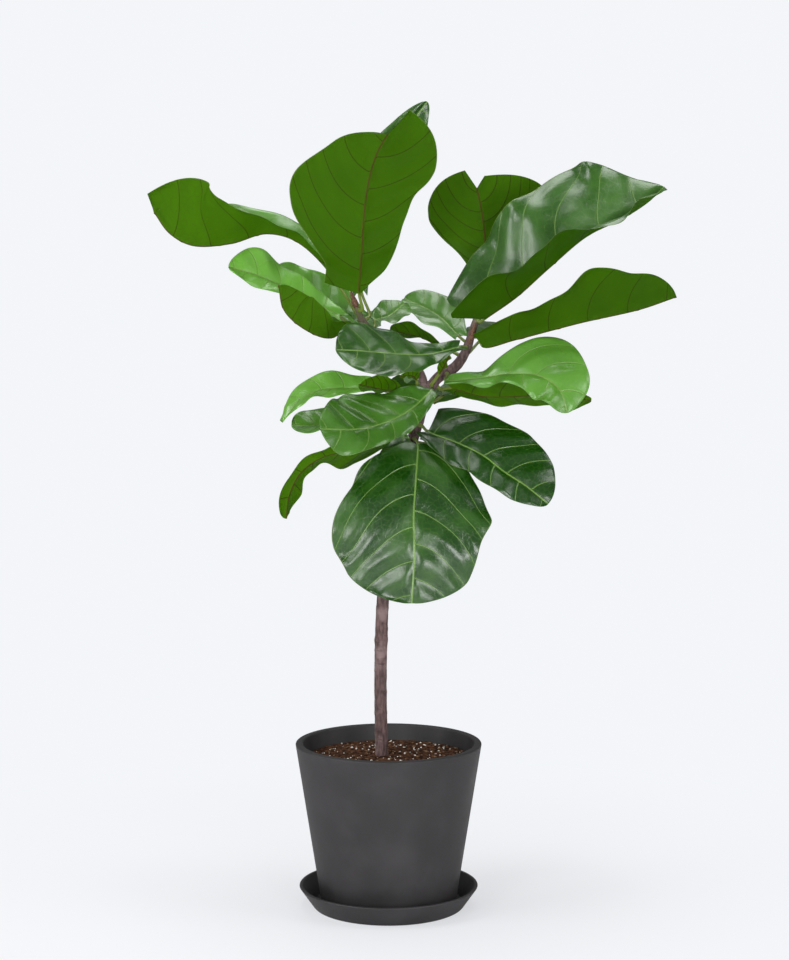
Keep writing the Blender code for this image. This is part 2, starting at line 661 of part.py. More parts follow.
leaf(
    "leaf_back_mid", "trunk", 0.955,
    [(0.085, 0.050, 0.822), (0.085, 0.120, 0.832), (0.082, 0.200, 0.826),
     (0.078, 0.280, 0.796)],
    [(0.0, 0.0, 1.0), (0.0, 0.4, 1.0)],
    left=(0.030, 0.046, 0.054, 0.068, 0.080, 0.074, 0.050),
    right=(0.030, 0.046, 0.052, 0.064, 0.076, 0.072, 0.050),
    fold=((20, 5), (20, 5)), wave=(0.006, 2.2, 0.0, 1.2),
)
leaf(
    "leaf_back_low", "trunk", 0.88,
    [(0.015, 0.060, 0.770), (-0.010, 0.125, 0.772), (-0.032, 0.190, 0.760),
     (-0.052, 0.255, 0.728)],
    [(0.0, 0.0, 1.0), (0.0, 0.4, 1.0)],
    left=(0.025, 0.040, 0.048, 0.060, 0.072, 0.068, 0.045),
    right=(0.025, 0.040, 0.046, 0.058, 0.070, 0.066, 0.045),
    fold=((20, 5), (20, 5)), wave=(0.005, 2.0, 1.5, 0.4),
)
leaf(
    "leaf_back_low_right", "trunk", 0.86,
    [(0.075, 0.050, 0.745), (0.105, 0.110, 0.748), (0.138, 0.170, 0.738),
     (0.172, 0.225, 0.712)],
    [(0.0, 0.0, 1.0), (0.0, 0.4, 1.0)],
    left=(0.022, 0.036, 0.042, 0.054, 0.064, 0.060, 0.042),
    right=(0.022, 0.036, 0.040, 0.052, 0.062, 0.058, 0.042),
    fold=((20, 5), (20, 5)), wave=(0.005, 2.0, 0.8, 0.0),
)

# Papery brown sheaths: one round the growing tip of each shoot, one dried on the fork.
for name, points in (
    ("bud_left", [
        (-0.0503, 0.0018, 0.9668, 0.0040),
        (-0.0530, 0.0010, 0.9740, 0.0046),
        (-0.0570, 0.0000, 0.9840, 0.0030),
        (-0.0600, -0.0010, 0.9940, 0.0006),
    ]),
    ("bud_right", [
        (0.1265, -0.0062, 0.9080, 0.0012),
        (0.1300, -0.0062, 0.9160, 0.0030),
        (0.1342, -0.0055, 0.9300, 0.0028),
        (0.1375, -0.0040, 0.9420, 0.0007),
    ]),
    ("sheath_fork", [
        (0.0580, -0.0079, 0.7980, 0.0012),
        (0.0618, -0.0089, 0.8080, 0.0028),
        (0.0645, -0.0089, 0.8180, 0.0028),
        (0.0656, -0.0080, 0.8260, 0.0009),
    ]),
):
    add(name, tube_mesh(name, points, sides=2), SHEATH)
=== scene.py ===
"""A potted fiddle leaf fig, as seen in a plain light studio. Metres, Z up, front towards -Y."""

import math

import bmesh
import bpy
import numpy as np
from mathutils import Matrix, Vector, noise


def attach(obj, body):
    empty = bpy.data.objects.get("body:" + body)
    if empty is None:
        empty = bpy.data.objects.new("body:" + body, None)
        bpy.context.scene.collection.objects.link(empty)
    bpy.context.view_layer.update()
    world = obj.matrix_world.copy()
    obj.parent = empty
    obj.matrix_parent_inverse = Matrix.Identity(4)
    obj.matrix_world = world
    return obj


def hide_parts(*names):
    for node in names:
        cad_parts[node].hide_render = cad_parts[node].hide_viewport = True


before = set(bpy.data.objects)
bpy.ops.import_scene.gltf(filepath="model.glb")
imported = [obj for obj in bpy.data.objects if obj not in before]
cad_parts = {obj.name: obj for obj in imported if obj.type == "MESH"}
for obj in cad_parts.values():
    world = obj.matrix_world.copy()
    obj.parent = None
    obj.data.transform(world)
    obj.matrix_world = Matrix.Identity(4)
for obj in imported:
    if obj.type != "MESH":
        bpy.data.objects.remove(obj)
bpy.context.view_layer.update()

# ---------------------------------------------------------------- saucer
# A thin-walled plastic drip saucer, injection moulded in matte charcoal. It stands on
# the floor, and the planter rests loose on its flat inner face.

SAUCER_HEIGHT = 0.035
SAUCER_RADIUS = 0.1445
SAUCER_BASE_RADIUS = 0.121
SAUCER_FLOOR = 0.005
SAUCER_WALL = 0.006
CHARCOAL = (0.021, 0.0198, 0.021, 1)
CHARCOAL_WORN = (0.060, 0.056, 0.060, 1)


def finished(piece, node, slot, *shades):
    """Gives a piece its materials and the body it moves with, and hides the solid that it stands
    for.
    """
    for shade in shades:
        piece.data.materials.append(shade)
    piece.data.shade_smooth()
    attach(piece, "root")
    if node:
        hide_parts(node)
    return piece


def piece_from(bm, name):
    mesh = bpy.data.meshes.new(name)
    bm.to_mesh(mesh)
    bm.free()
    piece = bpy.data.objects.new(name, mesh)
    bpy.context.scene.collection.objects.link(piece)
    return piece


def turned(profile, steps=160):
    """A solid of revolution about Z, from a profile that starts and ends on the axis."""
    bm = bmesh.new()
    verts = [bm.verts.new((radius, 0, height)) for radius, height in profile]
    edges = [bm.edges.new(pair) for pair in zip(verts, verts[1:])]
    bmesh.ops.spin(bm, geom=verts + edges, cent=(0, 0, 0), axis=(0, 0, 1),
                   angle=2 * math.pi, steps=steps, use_merge=True)
    bmesh.ops.remove_doubles(bm, verts=bm.verts, dist=1e-5)
    bmesh.ops.recalc_face_normals(bm, faces=bm.faces)
    return bm


def eased(piece, width):
    """Rounds the piece's sharp edges, as a mould leaves them."""
    edges = piece.modifiers.new("eased_edges", "BEVEL")
    edges.width = width
    edges.segments = 3
    edges.limit_method = "ANGLE"
    edges.angle_limit = math.radians(25)
    edges.harden_normals = True


def new_material(name, roughness, specular=0.5):
    made = bpy.data.materials.new(name)
    made.use_nodes = True
    shader = made.node_tree.nodes["Principled BSDF"]
    shader.inputs["Roughness"].default_value = roughness
    shader.inputs["Specular IOR Level"].default_value = specular
    return made, made.node_tree, shader


def node(tree, kind, links=None, **settings):
    """A node with its settings, and its inputs either linked to other sockets or given values."""
    made = tree.nodes.new(kind)
    for key, value in settings.items():
        setattr(made, key, value)
    for key, value in (links or {}).items():
        if isinstance(value, bpy.types.NodeSocket):
            tree.links.new(value, made.inputs[key])
        else:
            made.inputs[key].default_value = value
    return made


def maths(tree, operation, first, second=0.0, third=0.0):
    inputs = {0: first, 1: second, 2: third}
    return node(tree, "ShaderNodeMath", inputs, operation=operation).outputs[0]


def mixed(tree, amount, first, second):
    """Colour first where amount is 0, colour second where it is 1."""
    inputs = {0: amount, 6: first, 7: second}
    return node(tree, "ShaderNodeMix", inputs, data_type="RGBA").outputs[2]


def stepped(tree, value, low, high, at_low=0.0, at_high=1.0):
    """A smooth change from at_low to at_high as value goes from low to high."""
    made = node(tree, "ShaderNodeMapRange", {"Value": value, "From Min": low, "From Max": high,
                                             "To Min": at_low, "To Max": at_high})
    made.interpolation_type = "SMOOTHSTEP"
    return made.outputs["Result"]


def moulded_plastic(name, roughness):
    """Matte charcoal plastic with a fine grain, a little dusty in places."""
    made, tree, shader = new_material(name, roughness, 0.35)
    where = node(tree, "ShaderNodeTexCoord").outputs["Object"]
    grain = node(tree, "ShaderNodeTexNoise", {"Vector": where, "Scale": 900.0, "Detail": 3.0})
    cloud = node(tree, "ShaderNodeTexNoise", {"Vector": where, "Scale": 14.0, "Detail": 4.0})
    dusty = stepped(tree, cloud.outputs["Fac"], 0.35, 0.75, 0.0, 0.35)
    tree.links.new(mixed(tree, dusty, CHARCOAL, CHARCOAL_WORN),
                   shader.inputs["Base Color"])
    tree.links.new(stepped(tree, cloud.outputs["Fac"], 0.3, 0.7, roughness - 0.06, roughness + 0.1),
                   shader.inputs["Roughness"])
    bump = node(tree, "ShaderNodeBump", {"Height": grain.outputs["Fac"], "Strength": 0.35,
                                         "Distance": 0.0003})
    tree.links.new(bump.outputs["Normal"], shader.inputs["Normal"])
    return made


saucer = piece_from(turned([
    (0.0, SAUCER_FLOOR),
    (SAUCER_BASE_RADIUS - SAUCER_WALL, SAUCER_FLOOR),
    (SAUCER_BASE_RADIUS - SAUCER_WALL + 0.004, SAUCER_FLOOR + 0.002),
    (SAUCER_RADIUS - SAUCER_WALL, SAUCER_HEIGHT - 0.001),
    (SAUCER_RADIUS - SAUCER_WALL + 0.001, SAUCER_HEIGHT),
    (SAUCER_RADIUS - 0.001, SAUCER_HEIGHT),
    (SAUCER_RADIUS, SAUCER_HEIGHT - 0.0015),
    (SAUCER_BASE_RADIUS + 0.002, 0.003),
    (SAUCER_BASE_RADIUS, 0.001),
    (SAUCER_BASE_RADIUS - 0.002, 0.0),
    (0.0, 0.0),
]), "saucer_moulded")
finished(saucer, "saucer", "saucer", moulded_plastic("saucer_charcoal", 0.5))
eased(saucer, 0.0006)

# ---------------------------------------------------------------- planter
# A tapered plastic planter with a plain rolled lip, moulded in the same matte charcoal.
# It stands in the saucer on a low foot ring and holds the potting mix.

POT_HEIGHT = 0.263
POT_RADIUS = 0.150
POT_BASE_RADIUS = 0.109
POT_WALL = 0.012
POT_FLOOR = 0.010
GAP = 0.0003

pot_bottom = SAUCER_FLOOR + GAP
pot_top = SAUCER_FLOOR + POT_HEIGHT
slope = (POT_RADIUS - POT_BASE_RADIUS) / POT_HEIGHT
inner_floor_radius = POT_BASE_RADIUS + slope * POT_FLOOR - POT_WALL
planter = piece_from(turned([
    (0.0, pot_bottom + POT_FLOOR),
    (inner_floor_radius - 0.004, pot_bottom + POT_FLOOR),
    (inner_floor_radius, pot_bottom + POT_FLOOR + 0.004),
    (POT_RADIUS - POT_WALL, pot_top - 0.0015),
    (POT_RADIUS - POT_WALL + 0.0015, pot_top),
    (POT_RADIUS - 0.002, pot_top),
    (POT_RADIUS - 0.0002, pot_top - 0.002),
    (POT_BASE_RADIUS, pot_bottom + 0.002),
    (POT_BASE_RADIUS - 0.002, pot_bottom),
    (POT_BASE_RADIUS - 0.014, pot_bottom),
    (POT_BASE_RADIUS - 0.016, pot_bottom + 0.003),
    (0.0, pot_bottom + 0.003),
]), "planter_moulded")
finished(planter, "pot", "planter", moulded_plastic("planter_charcoal", 0.55))
eased(planter, 0.0008)

# ---------------------------------------------------------------- potting mix
# Damp peaty potting mix, crumbly on top, filling the planter to 25 mm under its lip.
# Grains of white perlite and chips of tan bark lie on it and in it.

SOIL_TOP = 0.243
SOIL_MOUND = 0.005
TRUNK_FOOT = Vector((-0.011, 0.0, 0.0))
STREWN_RADIUS = 0.128
CLEAR_OF_STEM = 0.016
PERLITE_GRAINS = 170
BARK_CHIPS = 120
NOISE_SHIFTS = ((0.0, 0.0, 0.0), (17.3, 5.1, 3.7), (4.6, 23.2, 11.9))
PEAT_WET = (0.014, 0.006, 0.003, 1)
PEAT_DRY = (0.105, 0.046, 0.024, 1)
PEAT_FIBRE = (0.11, 0.065, 0.035, 1)

soil_low = pot_bottom + POT_FLOOR + GAP
soil_radius = POT_RADIUS - POT_WALL - GAP - slope * (pot_top - SOIL_TOP)


def crumbs(place):
    """How far the top of the mix stands above its even level, at this place."""
    here = Vector((place.x, place.y, 0.0))
    lumps = 0.0022 * noise.noise(here * 70) + 0.0016 * noise.noise(here * 160)
    return lumps + 0.0009 * noise.noise(here * 380)


def mix_top(place):
    """The height of the mix there: heaped a little round the stem, and level at the wall."""
    spread = Vector((place.x, place.y)).length
    level = SOIL_TOP + SOIL_MOUND * max(0.0, 1 - spread / 0.09)
    return level + crumbs(place) * min(1.0, (soil_radius - spread) / 0.006)


soil_mesh = turned(
    [(soil_radius * i / 64, SOIL_TOP) for i in range(64)]
    + [(soil_radius - 0.001, SOIL_TOP - 0.001), (inner_floor_radius - 2 * GAP, soil_low + 0.005),
       (inner_floor_radius - 0.006, soil_low), (0.0, soil_low)], 200)
for vert in soil_mesh.verts:
    if vert.co.z > SOIL_TOP - 0.0005:
        vert.co.z = mix_top(vert.co)

peat, tree, shader = new_material("damp_potting_mix", 0.95, 0.1)
where = node(tree, "ShaderNodeTexCoord").outputs["Object"]
clods = node(tree, "ShaderNodeTexNoise", {"Vector": where, "Scale": 160.0, "Detail": 8.0})
fibres = node(tree, "ShaderNodeTexVoronoi", {"Vector": where, "Scale": 420.0})
damp = stepped(tree, clods.outputs["Fac"], 0.35, 0.65)
mix_colour = mixed(tree, damp, PEAT_WET, PEAT_DRY)
specks = stepped(tree, fibres.outputs["Distance"], 0.12, 0.05)
tree.links.new(mixed(tree, specks, mix_colour, PEAT_FIBRE), shader.inputs["Base Color"])
bump = node(tree, "ShaderNodeBump", {"Height": clods.outputs["Fac"], "Strength": 1.0,
                                     "Distance": 0.002})
tree.links.new(bump.outputs["Normal"], shader.inputs["Normal"])
finished(piece_from(soil_mesh, "potting_mix_crumbly"), "soil", "potting_mix", peat)


def scattered(name, count, smallest, largest, flatness, seed, shade):
    """Small grains that lie half sunk in the top of the mix, clear of the stem."""
    draw = np.random.RandomState(seed)
    bm = bmesh.new()
    for _ in range(count):
        turn = draw.uniform(0, 2 * math.pi)
        spread = STREWN_RADIUS * math.sqrt(draw.uniform(0.0, 1.0))
        size, tilt = draw.uniform(smallest, largest), draw.uniform(0, math.pi)
        place = Vector((spread * math.cos(turn), spread * math.sin(turn), 0.0))
        if (place - TRUNK_FOOT).length < CLEAR_OF_STEM:
            continue
        place.z = mix_top(place) + 0.2 * size
        shape = Matrix.Rotation(tilt, 4, "Z") @ Matrix.Diagonal((1.0, 0.7, flatness, 1.0))
        bmesh.ops.create_icosphere(bm, subdivisions=1, radius=size,
                                   matrix=Matrix.Translation(place) @ shape)
    for vert in bm.verts:
        wobble = [noise.noise(vert.co * 900 + Vector(shift)) for shift in NOISE_SHIFTS]
        vert.co += 0.0005 * Vector(wobble)
    return finished(piece_from(bm, name), None, "potting_mix", shade)


def crumb_material(name, dark, light, roughness):
    """A dull material, spotted with a dark and a light colour."""
    made, tree, shader = new_material(name, roughness, 0.3)
    where = node(tree, "ShaderNodeTexCoord").outputs["Object"]
    spots = node(tree, "ShaderNodeTexNoise", {"Vector": where, "Scale": 500.0, "Detail": 4.0})
    tree.links.new(mixed(tree, stepped(tree, spots.outputs["Fac"], 0.35, 0.65), dark, light),
                   shader.inputs["Base Color"])
    return made


scattered("perlite_grains", PERLITE_GRAINS, 0.0008, 0.0022, 0.8, 7,
          crumb_material("perlite_white", (0.45, 0.42, 0.38, 1), (0.78, 0.76, 0.72, 1), 0.9))
scattered("bark_chips", BARK_CHIPS, 0.0015, 0.0042, 0.4, 11,
          crumb_material("bark_chip_tan", (0.07, 0.035, 0.02, 1), (0.22, 0.13, 0.07, 1), 0.85))

# ---------------------------------------------------------------- wood
# One woody stem with smooth grey-brown bark, ringed by old leaf scars. It leans a little,
# forks at two thirds of its height into two shoots, and is rooted in the potting mix.

# Centre lines of the wood, each point as x, y, z and the radius there.
STEMS = {
    "trunk": [
        (-0.011, 0.0, 0.18, 0.0108),
        (-0.011, 0.0, 0.25, 0.0104),
        (-0.013, 0.001, 0.35, 0.01),
        (-0.012, 0.002, 0.434, 0.0101),
        (-0.008, 0.004, 0.51, 0.0097),
        (0.01, 0.004, 0.628, 0.0094),
        (0.034, 0.002, 0.74, 0.0092),
        (0.05, 0.0, 0.796, 0.009),
        (0.063, 0.0, 0.843, 0.0088),
    ],
    "right": [
        (0.06, 0.0, 0.832, 0.0084),
        (0.08, 0.0, 0.856, 0.0086),
        (0.106, 0.002, 0.872, 0.0084),
        (0.123, 0.004, 0.897, 0.0074),
        (0.132, 0.004, 0.925, 0.0062),
        (0.14, 0.004, 0.95, 0.005),
    ],
    "left": [
        (0.06, 0.0, 0.83, 0.0066),
        (0.05, 0.006, 0.862, 0.0068),
        (0.015, 0.012, 0.897, 0.0064),
        (-0.02, 0.008, 0.922, 0.0058),
        (-0.041, 0.004, 0.945, 0.0052),
        (-0.05, 0.002, 0.966, 0.0042),
    ],
}

SPAN_STEPS = 24
WOOD_SIDES = 40
MEAN_RADIUS = 0.009
SCAR_SPACING = 0.034
SCAR_RISE = 0.0006
SCAR_WIDTH = 0.0022
KNOT_HEIGHT = 0.434
KNOT_RISE = 0.0010
UNEVENNESS = 0.0004
BARK_DARK = (0.046, 0.027, 0.025, 1)
BARK_LIGHT = (0.130, 0.083, 0.081, 1)
BARK_PATCH = (0.22, 0.155, 0.153, 1)
BARK_BAND = (0.030, 0.018, 0.015, 1)
LENTICEL = (0.26, 0.21, 0.18, 1)
SHOOT_COLOUR = (0.10, 0.12, 0.04, 1)


def smooth_path(points):
    """A curve through the points that doesn't loop or swing where two of them lie close
    together (centripetal Catmull-Rom): its samples, and the distance of each along it."""
    points = np.asarray(points, float)
    ends = np.vstack([2 * points[0] - points[1], points, 2 * points[-1] - points[-2]])
    u = (np.arange(SPAN_STEPS) / SPAN_STEPS)[:, None]
    samples = []
    for a, b, c, d in zip(ends, ends[1:], ends[2:], ends[3:]):
        before, span, after = (np.linalg.norm((q - p)[:3]) ** 0.5
                               for p, q in ((a, b), (b, c), (c, d)))
        leave = (c - b) + span * ((b - a) / before - (c - a) / (before + span))
        arrive = (c - b) + span * ((d - c) / after - (d - b) / (span + after))
        samples.append(b * (2 * u**3 - 3 * u**2 + 1) + leave * (u**3 - 2 * u**2 + u)
                       + c * (3 * u**2 - 2 * u**3) + arrive * (u**3 - u**2))
    samples = np.vstack([*samples, points[-1:]])
    steps = np.linalg.norm(np.diff(samples[:, :3], axis=0), axis=1)
    return samples, np.concatenate([[0.0], np.cumsum(steps)])


def along(path, distance):
    """What the path holds at each distance along it."""
    samples, lengths = path
    return np.stack([np.interp(distance, lengths, column) for column in samples.T], axis=-1)


def unit(vectors):
    return vectors / np.linalg.norm(vectors, axis=-1, keepdims=True)


def heading(path, distance, reach=0.002):
    """The way the path runs there, over a short stretch or a longer one."""
    reach = np.asarray(reach)
    return unit((along(path, distance + reach) - along(path, distance - reach))[..., :3])


def rolled(rings, upper=None, flat=None, gaps=None, bm=None):
    """A closed skin over rings of points, from a sheet rolled up and pinched at both ends.

    Faces past the part of a ring given by upper take the second material. flat holds each
    point's place on the unrolled leaf, and gaps how far apart its side veins run there; both
    are kept on the mesh for its material."""
    stations, count = rings.shape[:2]
    bm = bm or bmesh.new()
    if upper is not None:
        place = bm.verts.layers.float_vector.new("flat")
        vein_gap = bm.verts.layers.float.new("vein_gap")
    made = bmesh.ops.create_grid(bm, x_segments=stations - 1, y_segments=count, size=0.5)["verts"]
    if upper is not None:
        for face in bm.faces:
            face.material_index = int((face.calc_center_median().y + 0.5) % 1.0 > upper)
    for vert in made:
        station = round((vert.co.x + 0.5) * (stations - 1))
        turn = round((vert.co.y + 0.5) * count) % count
        vert.co = rings[station, turn]
        if flat is not None:
            vert[place] = flat[station, turn]
            vert[vein_gap] = gaps[station, turn]
    bmesh.ops.remove_doubles(bm, verts=made, dist=1e-6)
    return bm


def rod_rings(path, count, sides, shape):
    """Rings along a path of x, y, z and radius, each closed to a point at the path's ends.

    shape(distance, turn) says how much wider than that radius the rod is there."""
    total = path[1][-1]
    distance = np.linspace(0, total, count)
    spots = along(path, distance)
    ahead = heading(path, distance)
    side = unit(np.cross(ahead, (0.0, 1.0, 0.0)))
    front = np.cross(ahead, side)
    turn = 2 * np.pi * np.arange(sides) / sides
    radius = spots[:, 3, None] * shape(distance[:, None], turn[None, :])
    rings = (spots[:, None, :3] + (radius * np.cos(turn))[..., None] * side[:, None]
             + (radius * np.sin(turn))[..., None] * front[:, None])
    first = np.repeat(spots[:1, None, :3], sides, axis=1)
    last = np.repeat(spots[-1:, None, :3], sides, axis=1)
    return np.concatenate([first, rings, last])


def scarred(distance, turn):
    """The swelling at each old leaf scar, which runs partly round the wood."""
    cell = distance / SCAR_SPACING + 0.12 * np.sin(2 * turn)
    near = (cell - np.round(cell)) * SCAR_SPACING
    swell = SCAR_RISE * np.exp(-((near / SCAR_WIDTH) ** 2))
    swell = swell * (0.6 + 0.4 * np.cos(turn - 1.9 * np.round(cell)))
    return 1 + swell / MEAN_RADIUS + 0.02 * np.sin(3 * turn + 20 * distance)


stem_paths = {name: smooth_path(points) for name, points in STEMS.items()}
wood_mesh = bmesh.new()
for limb, count in (("trunk", 340), ("right", 90), ("left", 110)):
    rolled(rod_rings(stem_paths[limb], count, WOOD_SIDES, scarred), bm=wood_mesh)
bmesh.ops.recalc_face_normals(wood_mesh, faces=wood_mesh.faces)
for vert in wood_mesh.verts:
    knot = KNOT_RISE * math.exp(-((vert.co.z - KNOT_HEIGHT) / 0.006) ** 2)
    vert.co += vert.normal * (UNEVENNESS * noise.noise(vert.co * 90) + knot)
wood = piece_from(wood_mesh, "wood_forked")
join = wood.modifiers.new("grown_together", "REMESH")
join.mode = "VOXEL"
join.voxel_size = 0.0011
join.use_smooth_shade = True

bark, tree, shader = new_material("grey_brown_bark", 0.82, 0.3)
where = node(tree, "ShaderNodeTexCoord").outputs["Object"]
long_ways, ring_ways = (
    node(tree, "ShaderNodeMapping", {"Vector": where, "Scale": scale}).outputs[0]
    for scale in ((1.0, 1.0, 0.25), (0.35, 0.35, 2.2))
)
streaks = node(tree, "ShaderNodeTexNoise", {"Vector": long_ways, "Scale": 260.0, "Detail": 6.0})
patches = node(tree, "ShaderNodeTexNoise", {"Vector": where, "Scale": 38.0, "Detail": 5.0})
bands = node(tree, "ShaderNodeTexNoise", {"Vector": ring_ways, "Scale": 150.0, "Detail": 5.0})
lenticels = node(tree, "ShaderNodeTexVoronoi", {"Vector": ring_ways, "Scale": 330.0})
brown = mixed(tree, stepped(tree, streaks.outputs["Fac"], 0.3, 0.7), BARK_DARK, BARK_LIGHT)
for share, colour in (
    (stepped(tree, patches.outputs["Fac"], 0.48, 0.68, 0.0, 0.7), BARK_PATCH),
    (stepped(tree, bands.outputs["Fac"], 0.60, 0.75, 0.0, 0.6), BARK_BAND),
    (stepped(tree, lenticels.outputs["Distance"], 0.14, 0.06, 0.0, 0.7), LENTICEL),
):
    brown = mixed(tree, share, brown, colour)
height = node(tree, "ShaderNodeSeparateXYZ", {0: where}).outputs["Z"]
green_shoot = stepped(tree, height, 0.915, 0.985, 0.0, 0.75)
tree.links.new(mixed(tree, green_shoot, brown, SHOOT_COLOUR), shader.inputs["Base Color"])
rough_bark = maths(tree, "ADD", streaks.outputs["Fac"], bands.outputs["Fac"])
bump = node(tree, "ShaderNodeBump", {"Height": rough_bark, "Strength": 0.7, "Distance": 0.0012})
tree.links.new(bump.outputs["Normal"], shader.inputs["Normal"])
finished(wood, "stem", "bark", bark)

# ---------------------------------------------------------------- leaves
# Leathery violin-shaped leaves: glossy dark green above with sunken pale veins, duller and
# yellower below with raised ribs. Each grows on a short stalk from its own place on the wood.

# How pale each leaf is drawn, from 0 for an old dark one to 1 for a young light one.
# Mostly this is the leaf's own tone, but some entries are painted light: leaf_left_mid (1.3)
# and leaf_left_low carry a painted highlight, and leaf_right_dark (-0.5) carries painted shade.
AGES_AND_PAINTED_LIGHT = {
    "leaf_top": 0.45, "leaf_left_far": 0.70, "leaf_left_mid": 1.3, "leaf_left_front": 0.60,
    "leaf_left_mid_back": 0.80, "leaf_right_big": 0.15, "leaf_right_top": 0.50,
    "leaf_right_long": 0.30, "leaf_front": 0.10, "leaf_right_low": 0.65, "leaf_right_under": 0.75,
    "leaf_front_low": 0.30, "leaf_left_low": 1.0, "leaf_left_low_back": 0.85,
    "leaf_left_droop": 0.80, "leaf_low_big": 0.05, "leaf_low_back": 0.05, "leaf_right_dark": -0.5,
    "leaf_centre_under": 0.80, "leaf_low_inner": 0.90, "leaf_young": 1.0,
}
MOTTLING = 0.6

# The stalk, and how far it is sunk towards the wood.
STALK_RADIUS = 0.0023
STALK_FLARE = 0.55
STALK_RINGS = 16
STALK_SUNK = 0.0012

# The sheet's thickness, the ribs that stand out below it, and the groove above the midrib.
SHEET = 0.0008
MIDRIB = 0.0018
MIDRIB_WIDTH = 0.0022
MIDRIB_GROOVE = 0.0009
SIDE_RIB = 0.0007
SIDE_RIB_WIDTH = 0.0016

# Side veins on each half, how they lean and arch towards the tip, and the sheet puffed up
# between them.
VEIN_CELLS = 5.0
VEIN_LEAN = 0.15
VEIN_ARCH = 2.0
PILLOW = 0.0042
PILLOW_EDGE = 0.013

# The margin's small frills, where the rounded tip starts, and the mesh's fineness.
FRILL = 0.0022
FRILL_LENGTH = 0.055
TIP_FROM = 0.85
RING_SPACING = 0.0034
SHORT_BLADE = 0.12

# Relief too fine for the mesh, in metres.
VEIN_RISE = 0.0005
NET_RISE = 0.00005
FINE_RISE = 0.000015
QUILTING = 0.0022

UPPER_DARK = (0.006, 0.045, 0.001, 1)
# The light end is pale enough to carry the painted highlight on the palest leaves.
UPPER_LIGHT = (0.150, 0.410, 0.045, 1)
UPPER_VEIN = (0.18, 0.34, 0.06, 1)
UNDER_DARK = (0.022, 0.072, 0.0003, 1)
UNDER_LIGHT = (0.054, 0.150, 0.001, 1)
UNDER_VEIN = (0.036, 0.055, 0.003, 1)
UNDER_RIB = (0.070, 0.050, 0.010, 1)
STALK_GREEN = (0.16, 0.21, 0.04, 1)
MARGIN_PALE = (0.22, 0.30, 0.09, 1)
GLOW = (0.20, 0.50, 0.002, 1)
GLOW_VEIN = (0.05, 0.10, 0.002, 1)
LIGHT_THROUGH = 0.22


